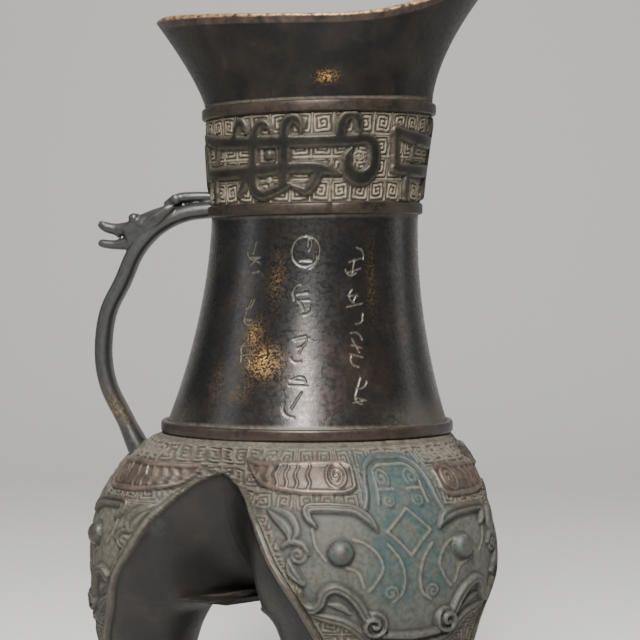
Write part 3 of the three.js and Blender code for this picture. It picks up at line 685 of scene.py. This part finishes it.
def make_leg(place, azimuth, material, teal_share, slip):
    stations, sides = leg_stations(), leg_sides()
    outer = leg_surface(stations, sides)
    normal = grid_normals(outer)
    turn = np.degrees(np.arctan2(outer[..., 1], outer[..., 0]))
    height, earth, worn, teal, pale = leg_relief(turn, outer[..., 2], slip)
    # The relief ends with the carved face, which is a smaller share of the round further down
    limit = np.interp(stations, [0, 2, 3, 4, 5, 13], [1.2, 1.2, 0.76, 0.64, 0.58, 0.56])[:, None]
    facing = ease((limit - np.abs(sides)[None, :]) / 0.05)
    skin = outer + normal * (height * facing)[..., None]
    hollow = stations <= HOLLOW_END
    inner = (outer - normal * WALL)[hollow][:, ::COLUMN_STEP]

    # Below the crotch both ends of a row meet in one seam
    closed = stations >= CROTCH_SECTION
    ids = np.arange(height.size).reshape(height.shape)
    ids[closed, -1] = ids[closed, 0]
    inner_ids = np.arange(inner[..., 0].size).reshape(inner.shape[:2]) + height.size
    inner_ids[closed[hollow], -1] = inner_ids[closed[hollow], 0]
    faces, smooth = leg_faces(ids, inner_ids, int(np.argmax(closed)))
    points = np.concatenate([skin.reshape(-1, 3), inner.reshape(-1, 3)])
    points = fanned(points, faces, ids[-1, :-1][::-1])
    points = fanned(points, faces, inner_ids[-1, :-1])
    spin = math.radians(azimuth)
    across = np.array([[math.cos(spin), math.sin(spin), 0], [-math.sin(spin), math.cos(spin), 0], [0, 0, 1]])
    points = points @ across + np.array([SHIFT, 0, 0])

    cavity_shade, edge = corners_of(height)
    inside = len(points) - height.size
    marks = {
        "earth": both_skins(earth * facing, inside, 0.3),
        "wear": both_skins(worn * facing, inside),
        "teal": both_skins(teal * facing * teal_share, inside),
        # Painted shade in the relief's concave corners.
        "cavity_shade": both_skins(1.3 * cavity_shade * facing, inside),
        # A painted highlight on the relief's convex edges, with the pale raised lines in their own colour.
        "edge": both_skins(np.maximum(0.14 * edge, 0.3 * pale) * facing, inside),
    }
    points, faces, marks = without_spares(points, faces, marks)
    settle(plain_piece("pouch_leg_" + place, points, faces, material, marks, smooth))


leg_bronze = cast_bronze("cast_bronze_legs", BRONZE_DARK, 0.42)
for leg_place, (leg_azimuth, teal_share, mask_slip) in LEGS.items():
    make_leg(leg_place, leg_azimuth, leg_bronze, teal_share, mask_slip)


# Neck.
# A waisted tube between the shoulder and the dragon band, as smooth as the casting came. Three columns of
# signs are cut into its front; here they are strokes that spell nothing.
NECK_HEIGHT = 77.0
NECK_RADIUS = 37.1
BAND_HEIGHT = 35.0
BAND_FLARE = 3.6
RIB_HEIGHT = 4.2
RIB_DEPTH = 1.3
NECK_LEAN = 4.3
NECK_FOOT_RADIUS = 0.965 * SHOULDER_RADIUS
BAND_TILT = 0.025
SHOULDER_Z = LEG_HEIGHT + RIB_HEIGHT / 2
WAIST_Z = LEG_HEIGHT + NECK_HEIGHT
LOW_RIB_Z = WAIST_Z + RIB_HEIGHT / 2
HIGH_RIB_Z = LOW_RIB_Z + BAND_HEIGHT
SIGN_WIDTH = 0.36
SIGN_DEPTH = 0.36
SIGN_MM_PER_DEGREE = math.radians(41.0)
SIGN_RING = 5.2
INNER_EARTH = 0.25
# Degrees from the front for each column of signs, then height and size of each of its signs
COLUMN_AZIMUTHS = (-29, -1, 25)
COLUMN_SIGNS = (
    ((193, 13), (176, 12), (160, 10)),
    ((196, 10), (179, 10), (163, 11), (147, 16)),
    ((192, 9), (177, 14), (162, 12), (149, 11)),
)


def neck_radius(z):
    below = np.clip((WAIST_Z - z) / (NECK_HEIGHT - RIB_HEIGHT), 0, 1.2)
    above = np.clip((z - WAIST_Z) / (BAND_HEIGHT + RIB_HEIGHT), 0, 1)
    return NECK_RADIUS + (NECK_FOOT_RADIUS - NECK_RADIUS) * below ** 1.9 + BAND_FLARE * above ** 1.4


def leaned(angle, radius, z):
    """Above the shoulder the neck leans to the spout, and its ribs tilt with it."""
    share = np.clip((z - SHOULDER_Z) / (HIGH_RIB_Z - SHOULDER_Z), 0, 1)
    x = radius * np.cos(angle)
    return np.stack([x + NECK_LEAN * share, radius * np.sin(angle), z + BAND_TILT * share * x], -1)


def neck_ring(angles, z, out=0.0):
    """Points round the leaning neck at one height, as far outside its plain surface as said."""
    return leaned(angles, neck_radius(z) + out, z)


def signs(azimuth, z):
    """Cut strokes in rows under one another, drawn by a seeded hand: hooks, bars and arcs, not letters."""
    draw = np.random.default_rng(11)
    depth = np.zeros_like(z)
    x = azimuth * SIGN_MM_PER_DEGREE
    for azimuth_middle, rows in zip(COLUMN_AZIMUTHS, COLUMN_SIGNS):
        for z_middle, tall in rows:
            middle = azimuth_middle * SIGN_MM_PER_DEGREE
            for stroke in range(2):
                turn = draw.uniform(0, 2 * math.pi)
                radius = draw.uniform(2.2, 3.6)
                cx, cz = middle + draw.uniform(-1.4, 1.4), z_middle + (stroke - 0.5) * 0.5 * tall
                arc = [turn + draw.uniform(1.4, 2.6) * t for t in np.linspace(0, 1, 8)]
                path = [[cx + radius * math.cos(t), cz + radius * math.sin(t), SIGN_WIDTH] for t in arc]
                depth = np.maximum(depth, raised(x, z, path, SIGN_DEPTH, 0.4))
            for stroke in range(3):
                half = draw.uniform(1.2, 3.2)
                slant = draw.uniform(-0.3, 0.3) if stroke < 2 else draw.uniform(1.0, 2.1)
                bx, bz = middle + draw.uniform(-0.8, 0.8), z_middle + draw.uniform(-0.42, 0.42) * tall
                dx, dz = half * math.cos(slant), half * math.sin(slant)
                path = [[bx - dx, bz - dz, SIGN_WIDTH], [bx + dx, bz + dz, SIGN_WIDTH]]
                depth = np.maximum(depth, raised(x, z, path, SIGN_DEPTH, 0.4))
    away = np.hypot(x - COLUMN_AZIMUTHS[1] * SIGN_MM_PER_DEGREE, z - COLUMN_SIGNS[1][0][0])
    ring = ease((SIGN_WIDTH / 2 - np.abs(away - SIGN_RING)) / 0.4 + 0.5)
    return np.maximum(depth, SIGN_DEPTH * ring)


def tube_piece(name, rows, inner_rows, angles, material, marks):
    """A closed ring of wall from rows of outer points, going up, and rows of inner points, going up too."""
    columns = len(angles)
    outer_ids = np.arange(len(rows) * columns).reshape(len(rows), columns)
    inner_ids = np.arange(len(inner_rows) * columns).reshape(len(inner_rows), columns) + outer_ids.size
    round_outer = np.concatenate([outer_ids, outer_ids[:, :1]], 1)
    round_inner = np.concatenate([inner_ids, inner_ids[:, :1]], 1)
    faces = grid_faces(round_outer, flipped=True) + grid_faces(round_inner)
    faces += grid_faces(np.stack([round_outer[-1], round_inner[-1]]), flipped=True)
    smooth = len(faces)
    faces += grid_faces(np.stack([round_inner[0], round_outer[0]]), flipped=True)
    points = np.concatenate([np.concatenate(rows), np.concatenate(inner_rows)]) + np.array([SHIFT, 0, 0])
    settle(plain_piece(name, points, faces, material, marks, smooth))


def around(columns):
    return np.arange(columns) * 2 * math.pi / columns - math.pi


def front_azimuth(angles):
    """Degrees round the vessel, with 0 at the front and positive towards the spout."""
    return (np.degrees(angles) + 90 + 180) % 360 - 180


def joint_earth(z, low, high, reach):
    """Earth that stays in the corner beside a rib."""
    over = ease(1 - (z - low - RIB_HEIGHT / 2) / reach)
    under = ease(1 - (high - RIB_HEIGHT / 2 - z) / reach)
    return np.maximum(over, under)


def neck_piece(name, angles, heights, out, every, material, marks):
    """A stretch of the neck from a grid of how far its skin stands out, with fewer rows inside."""
    rows = [neck_ring(angles, h, rise) for rise, h in zip(out, heights)]
    inner_rows = [neck_ring(angles, h, -WALL) for h in heights[::every]]
    inner_count = len(inner_rows) * len(angles)
    inner = {"earth": INNER_EARTH}
    marks = {mark: both_skins(grid, inner_count, inner.get(mark, 0.0)) for mark, grid in marks.items()}
    tube_piece(name, rows, inner_rows, angles, material, marks)


def make_neck(material):
    fine = np.radians(np.linspace(-38, 31, 214) - 90)
    coarse = np.radians(np.linspace(31, 322, 150)[1:-1] - 90)
    angles = np.concatenate([fine, coarse])
    heights = np.linspace(SHOULDER_Z, LOW_RIB_Z, 236)
    azimuth, z = np.meshgrid(front_azimuth(angles), heights)
    strokes = signs(azimuth, z)

    def stain(azimuth_middle, z_middle, wide, tall):
        return np.exp(-((azimuth - azimuth_middle) / wide) ** 2 - ((z - z_middle) / tall) ** 2)

    ochre = 0.95 * stain(-18, 158, 7, 4.5) + 0.6 * stain(-25, 168, 4, 4) + 0.22 * stain(-15, 187, 4, 8)
    ochre += 0.16 * stain(35, 185, 2.5, 12) + 0.14 * stain(-41, 150, 5, 6) + 0.2 * stain(-27, 148, 5, 3)
    drip = ease((148 - z) / 12) * ease((np.abs(azimuth + 8) - 34) / 22)
    corner = joint_earth(z, SHOULDER_Z, LOW_RIB_Z, 1.6)
    earth = np.maximum(0.62 * ease(strokes / 0.2), np.maximum(0.45 * drip, 0.7 * corner))
    marks = {
        "earth": np.clip(earth, 0, 1),
        "wear": 0.25 * stain(10, 150, 30, 16),
        "ochre": np.clip(ochre, 0, 1) * (strokes < 0.1),
        "edge": 0.08 * ease(strokes / 0.2),
    }
    neck_piece("neck", angles, heights, -strokes, 47, material, marks)


neck_bronze = cast_bronze("cast_bronze_neck", BRONZE_DARK, 0.26)
make_neck(neck_bronze)


# Dragon band.
# Three one-legged dragons in flat raised bands chase each other round the neck over a ground of thunder
# pattern, each with a boss eye in a square socket. The ground has kept the clay.
DRAGON_AZIMUTHS = (0, 120, -120)
DRAGON_BAND = 4.5
# Eye and coil of a dragon: degrees from its middle and share of the height, and the height of the lower boss
DRAGON_EYE = (-22, 0.535)
LOWER_EYE = 0.26
COIL = (25.2, 0.5)
BAND_MM_PER_DEGREE = math.radians(38.5)
FRETS_ROUND = 34
FRETS_UP = 4
BAND_DARK = "#141312"
# Each band of a dragon: degrees from its middle, share of the height, share of the band's width
DRAGON = (
    [[-75, 0.78, 0.8], [-66, 0.74, 0.9], [-58, 0.71, 1], [-43, 0.69, 1], [-13, 0.675, 0.95], [20, 0.68, 0.9],
     [28, 0.69, 0.9], [32, 0.62, 0.95], [33.3, 0.48, 1], [32.5, 0.35, 1.05], [27.5, 0.26, 1.25],
     [22, 0.28, 1.15], [18.4, 0.38, 0.95], [18.5, 0.5, 0.75], [20.4, 0.6, 0.2]],
    [[-73, 0.37, 0.8], [-49, 0.35, 0.95], [-33, 0.36, 1], [-10, 0.385, 0.9], [3, 0.38, 0.9], [10, 0.34, 0.7],
     [15.5, 0.3, 0.15]],
    [[-75, 0.78, 0.6], [-73.6, 0.6, 0.65], [-72.4, 0.37, 0.7]],
    [[-57, 0.7, 0.5], [-59, 0.58, 0.5], [-60.4, 0.47, 0.15]],
    [[-61, 0.37, 0.6], [-62.4, 0.2, 0.6], [-62, 0.05, 0.6]],
    [[-42.7, 0.72, 0.5], [-41.5, 0.83, 0.6], [-38.4, 0.92, 0.7], [-35.9, 0.87, 0.55], [-34.6, 0.78, 0.15]],
    [[-30.4, 0.7, 0.8], [-28.6, 0.82, 0.75], [-25.6, 0.89, 0.7], [-22.3, 0.86, 0.5], [-20.4, 0.79, 0.15]],
    [[-13.4, 0.68, 0.8], [-13.4, 0.82, 0.8], [-11.6, 0.91, 0.85], [-8.3, 0.93, 0.75], [-5.8, 0.86, 0.6],
     [-5.2, 0.76, 0.2]],
    [[14, 0.7, 0.9], [14.3, 0.85, 0.9], [16.3, 0.94, 0.8], [19.5, 0.96, 0.7], [22.5, 0.9, 0.75],
     [23.6, 0.78, 0.5]],
    [[-30.2, 0.68, 0.85], [-30.6, 0.48, 0.8], [-31.2, 0.27, 0.95], [-29.6, 0.14, 0.9], [-25, 0.09, 0.8],
     [-18.7, 0.13, 0.75], [-13.2, 0.18, 0.7], [-9.6, 0.21, 0.3]],
    [[-13.4, 0.68, 0.95], [-13.4, 0.45, 0.95], [-13.6, 0.2, 0.8]],
    [[-35.5, 0.33, 0.8], [-37.4, 0.2, 0.7], [-41.3, 0.09, 0.4]],
    [[4.2, 0.34, 0.8], [1.5, 0.2, 0.75], [-2, 0.12, 0.7], [-6.2, 0.16, 0.5], [-10, 0.2, 0.3]],
)


def dragon_relief(azimuth, z):
    low, high = LOW_RIB_Z + RIB_HEIGHT / 2, HIGH_RIB_Z - RIB_HEIGHT / 2
    tall = high - low
    scale = [BAND_MM_PER_DEGREE, tall, DRAGON_BAND]
    eye_x, eye_z = DRAGON_EYE[0] * BAND_MM_PER_DEGREE, low + DRAGON_EYE[1] * tall
    coil_at = (COIL[0] * BAND_MM_PER_DEGREE, low + COIL[1] * tall)
    lift = np.zeros_like(z)
    for middle in DRAGON_AZIMUTHS:
        x = ((azimuth - middle + 180) % 360 - 180) * BAND_MM_PER_DEGREE
        for path in DRAGON:
            spots = np.array(path) * scale + [0, low, 0]
            lift = np.maximum(lift, raised(x, z, spots, 1.3, 0.7) + raised(x, z, spots, 0.3, 2.4))
        socket = np.maximum(np.abs(x - eye_x) / 3.3, np.abs(z - eye_z) / 3.0)
        lift = np.maximum(lift, 1.3 * ease((0.16 - np.abs(socket - 0.86)) / 0.14 + 0.4))
        lift = np.maximum(lift, dome(x, z, (eye_x, eye_z), 2.0, 1.9))
        lift = np.maximum(lift, dome(x, z, (eye_x, low + LOWER_EYE * tall), 1.3, 1.1))
        lift = np.maximum(lift, curl(x, z, coil_at, 2.6, 1, 0.5, 1.4))
    cell_x = 360 * BAND_MM_PER_DEGREE / FRETS_ROUND
    ground = fret(azimuth * BAND_MM_PER_DEGREE, z - low, cell_x, tall / FRETS_UP, 0.5)
    ground = ground * (1 - ease(lift / 0.25))
    beside_ribs = ease((z - low) / 0.5) * ease((high - z) / 0.5)
    return (lift + ground) * beside_ribs, lift


def make_dragon_band(material):
    angles = around(660)
    heights = np.linspace(LOW_RIB_Z, HIGH_RIB_Z, 100)
    azimuth, z = np.meshgrid(front_azimuth(angles), heights)
    height, lift = dragon_relief(azimuth, z)
    proud = ease((lift - 0.85) / 0.4)
    cavity_shade, edge = corners_of(height)
    earth = (1 - 0.95 * proud) * (0.5 + 0.22 * ease((height - 0.15) / 0.3))
    earth = np.maximum(earth, 0.9 * joint_earth(z, LOW_RIB_Z, HIGH_RIB_Z, 0.9))
    # Painted shade in the concave corners, and a painted highlight on the convex edges.
    marks = {"earth": np.clip(earth, 0, 1), "cavity_shade": 0.8 * cavity_shade, "edge": edge * (1 - 0.82 * proud)}
    neck_piece("dragon_band", angles, heights, height, 33, material, marks)


band_bronze = cast_bronze("cast_bronze_band", BAND_DARK, 0.42, 0.25)
make_dragon_band(band_bronze)


# Mouth.
# The neck flares to an open mouth with a rounded tail towards the handle and a long pouring spout
# opposite. The lip is cast a little thinner than the wall and its edge is rubbed bright.
FLARE_HEIGHT = 28.0
TAIL_REACH = 58.3
SIDE_REACH = 46.5
SPOUT_REACH = SPOUT_TIP_X - NECK_LEAN
SPOUT_RISE = 28.2
TAIL_RISE = 1.8
RIM_Z = HIGH_RIB_Z + RIB_HEIGHT / 2 + FLARE_HEIGHT
LIP = 2.2
MOUTH_ROWS = 52


def rim_points(angles):
    along, across = np.cos(angles), np.sin(angles)
    front = along > 0
    forward = np.clip(along, 0, 1)
    x = np.where(front, SPOUT_REACH, TAIL_REACH) * along + NECK_LEAN
    y = SIDE_REACH * np.where(front, np.sign(across) * np.abs(across) ** 1.35, across)
    z = RIM_Z + np.where(front, SPOUT_RISE * forward ** 2.6, TAIL_RISE * along ** 2)
    return np.stack([x, y, z], -1)


def make_mouth(material):
    angles = around(360)
    top = HIGH_RIB_Z + RIB_HEIGHT / 2
    low = neck_ring(angles, HIGH_RIB_Z)
    base = neck_ring(angles, top)
    rim = rim_points(angles)
    power = 1.3 + 0.35 * np.clip(np.cos(angles), 0, 1)
    rows = [low]
    for rise in np.linspace(0, 1, MOUTH_ROWS):
        outwards = (rise ** power)[:, None]
        spread = base[:, :2] + (rim[:, :2] - base[:, :2]) * outwards
        rows.append(np.concatenate([spread, (base[:, 2] + (rim[:, 2] - base[:, 2]) * rise)[:, None]], 1))
    outer = np.array(rows)
    wrapped = np.concatenate([outer[:, -1:], outer, outer[:, :1]], 1)
    normal = -grid_normals(wrapped)[:, 1:-1]
    thin = np.linspace(WALL, LIP, len(rows))[:, None, None]
    inner = outer - normal * thin
    inner[0] = neck_ring(angles, HIGH_RIB_Z, -WALL)
    lip_middle = (outer[-1] + inner[-1]) / 2 + np.array([0, 0, 0.45])
    lip_outer = outer[-1] * 0.8 + lip_middle * 0.2 + np.array([0, 0, 0.25])
    lip_inner = inner[-1] * 0.8 + lip_middle * 0.2 + np.array([0, 0, 0.25])
    outer_rows = list(outer) + [lip_outer, lip_middle]
    inner_rows = list(inner[::2]) + [lip_inner]
    grids = np.zeros((4, len(outer_rows) + len(inner_rows), len(angles)))
    earth, wear, ochre, polish = grids
    earth[1:3] = 0.75
    earth[len(outer_rows):] = 0.3
    wear[len(rows) - 5:len(rows)] = 0.5
    azimuth = front_azimuth(angles)[None, :]
    height_share = np.arange(len(rows))[:, None] / len(rows)
    ochre[:len(rows)] = 0.75 * np.exp(-((azimuth - 6) / 4) ** 2 - ((height_share - 0.28) / 0.06) ** 2)
    polish[len(rows) - 1:len(outer_rows)] = 0.9
    polish[-2:] = 0.9
    marks = dict(zip(("earth", "wear", "ochre", "polish"), grids.reshape(4, -1)))
    tube_piece("mouth", outer_rows, inner_rows, angles, material, marks)


make_mouth(band_bronze)


# Ribs.
# Three half-round ribs are cast round the neck: at the shoulder and on both edges of the dragon band. One
# tree sweeps the rib's section round the leaning neck for all three. The lower two have a worn dent.
RIB_BURIED = 1.1
RIB_CORNER = 0.95
RIB_DARK = "#1e1815"
# Name, height, and the dent's azimuth, spread in degrees and depth
RIBS = (
    ("shoulder_rib", SHOULDER_Z, 36, 1.6, 0.5),
    ("lower_band_rib", LOW_RIB_Z, 12, 2.2, 0.5),
    ("upper_band_rib", HIGH_RIB_Z, 0, 1, 0),
)


def rib_tree():
    tree = bpy.data.node_groups.new("rib_sweep", "GeometryNodeTree")
    tree.interface.new_socket("Geometry", in_out="INPUT", socket_type="NodeSocketGeometry")
    for name, size_mm in (("Height", RIB_HEIGHT), ("Depth", RIB_DEPTH + RIB_BURIED), ("Corner", RIB_CORNER)):
        socket = tree.interface.new_socket(name, in_out="INPUT", socket_type="NodeSocketFloat")
        socket.default_value = size_mm * 0.001
    tree.interface.new_socket("Bronze", in_out="INPUT", socket_type="NodeSocketMaterial")
    tree.interface.new_socket("Geometry", in_out="OUTPUT", socket_type="NodeSocketGeometry")
    entry = add_node(tree, "NodeGroupInput").outputs
    section = add_node(tree, "GeometryNodeCurvePrimitiveQuadrilateral", {
        "Width": entry["Depth"],
        "Height": entry["Height"],
    })
    soft = add_node(tree, "GeometryNodeFilletCurve", {
        "Curve": section.outputs["Curve"],
        "Radius": entry["Corner"],
        "Count": 4,
    }, mode="POLY")
    upright = add_node(tree, "GeometryNodeSetCurveNormal", {"Curve": entry["Geometry"]}, mode="Z_UP")
    sweep = add_node(tree, "GeometryNodeCurveToMesh", {
        "Curve": upright.outputs["Curve"],
        "Profile Curve": soft.outputs["Curve"],
    })
    real = add_node(tree, "GeometryNodeRealizeInstances", {"Geometry": sweep.outputs["Mesh"]})
    smooth = add_node(tree, "GeometryNodeSetShadeSmooth", {"Geometry": real.outputs["Geometry"]})
    coated = add_node(tree, "GeometryNodeSetMaterial", {
        "Geometry": smooth.outputs["Geometry"],
        "Material": entry["Bronze"],
    })
    exit_node = tree.nodes.new("NodeGroupOutput")
    tree.links.new(coated.outputs["Geometry"], exit_node.inputs[0])
    return tree


def swept(name, tree, points, metal, marks):
    """Run a sweep tree round a closed path in millimetres and keep the result as a plain mesh."""
    curve = bpy.data.curves.new(name + "_path", "CURVE")
    curve.dimensions = "3D"
    spline = curve.splines.new("POLY")
    spline.points.add(len(points) - 1)
    for spot, place in zip(spline.points, points):
        spot.co = (*metres(place), 1)
    spline.use_cyclic_u = True
    path = add_object(name + "_path", curve)
    modifier = path.modifiers.new("sweep", "NODES")
    modifier.node_group = tree
    sockets = {item.name: item.identifier for item in tree.interface.items_tree if item.in_out == "INPUT"}
    modifier[sockets["Bronze"]] = metal
    graph = bpy.context.evaluated_depsgraph_get()
    mesh = bpy.data.meshes.new_from_object(path.evaluated_get(graph))
    bpy.data.objects.remove(path)
    mesh.name = name
    set_marks(mesh, {mark: np.full(len(mesh.vertices), value) for mark, value in marks.items()})
    return add_object(name, mesh)


def make_ribs(shoulder_metal, band_metal):
    tree = rib_tree()
    angles = around(600)
    out = (RIB_DEPTH - RIB_BURIED) / 2
    marks = {"earth": 0.04, "wear": 0.15, "polish": 0.02}
    for name, z, turn, spread, depth in RIBS:
        base = max(neck_radius(z - RIB_HEIGHT / 2), neck_radius(z + RIB_HEIGHT / 2))
        # Lit and shaded copies of one rib bronze: the band ribs' darker, less shiny copy is painted shade,
        # and the shoulder rib's lighter, shinier copy is painted light.
        metal = band_metal
        if z == SHOULDER_Z:
            base = (SHOULDER_RADIUS + NECK_FOOT_RADIUS) / 2 + 0.3
            metal = shoulder_metal
        dent = depth * np.exp(-((front_azimuth(angles) - turn) / spread) ** 2)
        path = leaned(angles, base + out - dent, z) + np.array([SHIFT, 0, 0])
        settle(swept(name, tree, path, metal, marks))


rib_bronze = cast_bronze("cast_bronze_ribs", RIB_DARK, 0.36)
make_ribs(rib_bronze, band_bronze)


# Handle.
# A strap cast on with the body bows from under the dragon band down to the shoulder of the rear leg. On
# its bend sits a horned beast's head that gapes outwards, with a scroll running back to the neck.
HANDLE_WIDTH = 12.5
HANDLE_THICKNESS = 6.0
HANDLE_REACH = 39.6
HANDLE_BURIED = 1.4
HEAD_WIDTH = 10.0
JAW_LENGTH = 12.0
# Along, up, width and thickness of an ear from its tip, and how far to the side in shares of the head
EAR = (
    [1.3, 0.06, 0.1, 0.14], [1.55, -0.06, 0.24, 0.34], [2, -0.42, 0.28, 0.46], [2.4, -0.78, 0.16, 0.26],
)
EAR_OUT = 0.61
HANDLE_VOXEL_MM = 0.42
HANDLE_TOP_Z = LOW_RIB_Z + 1
HANDLE_WALL_X = float(neck_ring(math.pi, HANDLE_TOP_Z)[0])
HANDLE_GREY = "#2c2e2f"
HANDLE_BROWN = "#2b2a28"
HANDLE_FOOT = (-60.6, 124.0)
# Shares of the way down from the top to the foot, and of the reach
HANDLE_ROUTE = (
    (0.005, 0), (0.02, 0.25), (0.05, 0.42), (0.1, 0.57), (0.18, 0.71), (0.3, 0.825), (0.43, 0.957), (0.6, 1),
    (0.73, 0.955), (0.87, 0.81),
)


def loft_rings(rings):
    """Corners and faces of a closed loft through rings of equally many points."""
    rings = np.asarray(rings, float)
    count, size = rings.shape[:2]
    points = np.concatenate([rings.reshape(-1, 3), [rings[0].mean(0)], [rings[-1].mean(0)]])
    ids = np.arange(count * size).reshape(count, size)
    ids = np.concatenate([ids, ids[:, :1]], 1)
    faces = grid_faces(ids)
    for k in range(size):
        faces.append((int(ids[0, k]), int(ids[0, k + 1]), len(points) - 2))
        faces.append((int(ids[-1, k + 1]), int(ids[-1, k]), len(points) - 1))
    return points, faces


def strap_rings(path, side=0.0, splay=0.0):
    """Rounded sections along a path of [x, z, width, thickness] places in the plane of the handle."""
    path = np.asarray(path, float)
    along = np.gradient(path[:, :2], axis=0)
    along /= np.linalg.norm(along, axis=1)[:, None]
    turns = np.linspace(0, 2 * math.pi, 20, endpoint=False)
    wide = np.sign(np.cos(turns)) * np.abs(np.cos(turns)) ** 0.7
    deep = np.sign(np.sin(turns)) * np.abs(np.sin(turns)) ** 0.7
    rings = []
    for k, ((x, z, width, thick), (ax, az)) in enumerate(zip(path, along)):
        shift = side + splay * k / (len(path) - 1)
        rings.append(np.stack([
            x - az * deep * thick / 2,
            shift + wide * width / 2,
            z + ax * deep * thick / 2,
        ], -1))
    return rings


def ball_rings(centre, radii):
    turns = np.linspace(0, 2 * math.pi, 16, endpoint=False)
    rings = []
    for lift in np.linspace(-0.98, 0.98, 9):
        wide = math.sqrt(1 - lift * lift)
        rings.append(np.stack([
            centre[0] + radii[0] * wide * np.cos(turns),
            centre[1] + radii[1] * wide * np.sin(turns),
            np.full_like(turns, centre[2] + radii[2] * lift),
        ], -1))
    return rings


def handle_rings():
    reach = HANDLE_REACH + HANDLE_BURIED
    route = [[HANDLE_WALL_X + HANDLE_BURIED - out * reach, between(HANDLE_TOP_Z, HANDLE_FOOT[1], down)]
             for down, out in HANDLE_ROUTE] + [list(HANDLE_FOOT)]
    curve = smooth_path(route, 80)
    share = np.linspace(0, 1, len(curve))
    width = HANDLE_WIDTH + 2.2 * ease((share - 0.9) / 0.1)
    thick = HANDLE_THICKNESS + 1.6 * ease((share - 0.9) / 0.1)
    yield strap_rings(np.concatenate([curve, width[:, None], thick[:, None]], 1))

    def at(rows, side=0.0, splay=0.0):
        spots = np.array(rows) * HEAD_WIDTH * [-1, 1, 1, 1] + [HANDLE_WALL_X, HANDLE_TOP_Z, 0, 0]
        steps = np.linspace(0, len(rows) - 1, 24)
        sizes = [np.interp(steps, range(len(rows)), spots[:, column]) for column in (2, 3)]
        fine = np.column_stack([smooth_path(spots[:, :2], len(steps))] + sizes)
        return strap_rings(fine, side * HEAD_WIDTH, splay * HEAD_WIDTH)

    # Parts of the head: out, up, width and thickness in head widths
    skull = ([1.3, -0.1, 1.1, 0.6], [1.9, -0.4, 1.2, 0.85], [2.5, -0.74, 1.2, 1.06], [3.1, -1.02, 1, 0.9])
    scroll = ([-0.1, 0.4, 0.8, 0.36], [0.7, 0.4, 0.85, 0.38], [1.25, 0.32, 0.82, 0.4], [1.6, 0.02, 0.7, 0.5])
    tip = 2.9 + JAW_LENGTH / HEAD_WIDTH
    upper = ([2.7, -0.72, 1, 0.6], [tip - 0.6, -0.76, 0.68, 0.42], [tip - 0.2, -0.66, 0.66, 0.36],
             [tip, -0.54, 0.48, 0.22])
    lower = ([2.7, -1.2, 0.95, 0.6], [tip - 0.6, -1.32, 0.6, 0.34], [tip - 0.1, -1.26, 0.5, 0.3],
             [tip, -1.2, 0.4, 0.2])
    fang = ([tip - 0.75, -1.04, 0.1, 0.1], [tip - 0.68, -0.96, 0.14, 0.14], [tip - 0.62, -0.9, 0.2, 0.2])
    # Eye, nostril and the scroll's coil: out, to the side and up in head widths, then radii
    knobs = ((2.8, 0.38, -0.37, (2.0, 1.7, 2.0)), (tip - 0.15, 0.22, -0.56, (1.1, 0.9, 1.0)),
             (1.3, 0.38, 0.3, (2.0, 0.9, 2.0)))
    for rows in (skull, scroll, upper, lower):
        yield at(rows)
    for side in (-1, 1):
        yield at(EAR, side * EAR_OUT, side * -0.04)
        yield at(fang, side * 0.2)
        for out, off, up, radii in knobs:
            centre = np.array([-out, side * off, up]) * HEAD_WIDTH + [HANDLE_WALL_X, 0, HANDLE_TOP_Z]
            yield ball_rings(centre, radii)


def make_handle(material):
    points, faces = np.zeros((0, 3)), []
    for rings in handle_rings():
        corners, skin = loft_rings(rings)
        faces += [tuple(corner + len(points) for corner in face) for face in skin]
        points = np.concatenate([points, corners])
    rough = bpy.data.meshes.new("handle_rough")
    rough.from_pydata(((points + np.array([SHIFT, 0, 0])) * 0.001).tolist(), [], faces)
    model = add_object("handle_rough", rough)
    remesh = model.modifiers.new("fuse", "REMESH")
    remesh.mode = "VOXEL"
    remesh.voxel_size = HANDLE_VOXEL_MM * 0.001
    remesh.use_smooth_shade = True
    soften = model.modifiers.new("soften", "SMOOTH")
    soften.factor = 0.5
    soften.iterations = 4
    graph = bpy.context.evaluated_depsgraph_get()
    mesh = bpy.data.meshes.new_from_object(model.evaluated_get(graph))
    bpy.data.objects.remove(model)
    mesh.name = "handle"
    places = np.empty(len(mesh.vertices) * 3)
    mesh.vertices.foreach_get("co", places)
    places = places.reshape(-1, 3) * 1000
    out = (HANDLE_WALL_X + SHIFT - places[:, 0]) / HEAD_WIDTH
    off_ear = np.abs((places[:, 2] - HANDLE_TOP_Z) / HEAD_WIDTH + 0.36 + 0.78 * (out - 1.9))
    ear_inside = ease((0.2 - off_ear) / 0.1) * ease((np.abs(places[:, 1]) - 6.9) / 0.4)
    marks = {
        "earth": 0.12 + 0.3 * ease((places[:, 2] - 204) / 8) * ease((3.2 - np.abs(places[:, 1])) / 2),
        # Painted shade inside the hollow of each ear.
        "cavity_shade": ear_inside * ease((out - 1.4) / 0.2),
        "ochre": 0.25 * ease((150 - places[:, 2]) / 12) * ease((places[:, 2] - 130) / 8),
    }
    set_marks(mesh, marks)
    mesh.materials.clear()
    mesh.materials.append(material)
    settle(add_object("handle", mesh))


handle_bronze = cast_bronze("cast_bronze_handle", HANDLE_GREY, 0.34, 0.45, HANDLE_BROWN)
make_handle(handle_bronze)
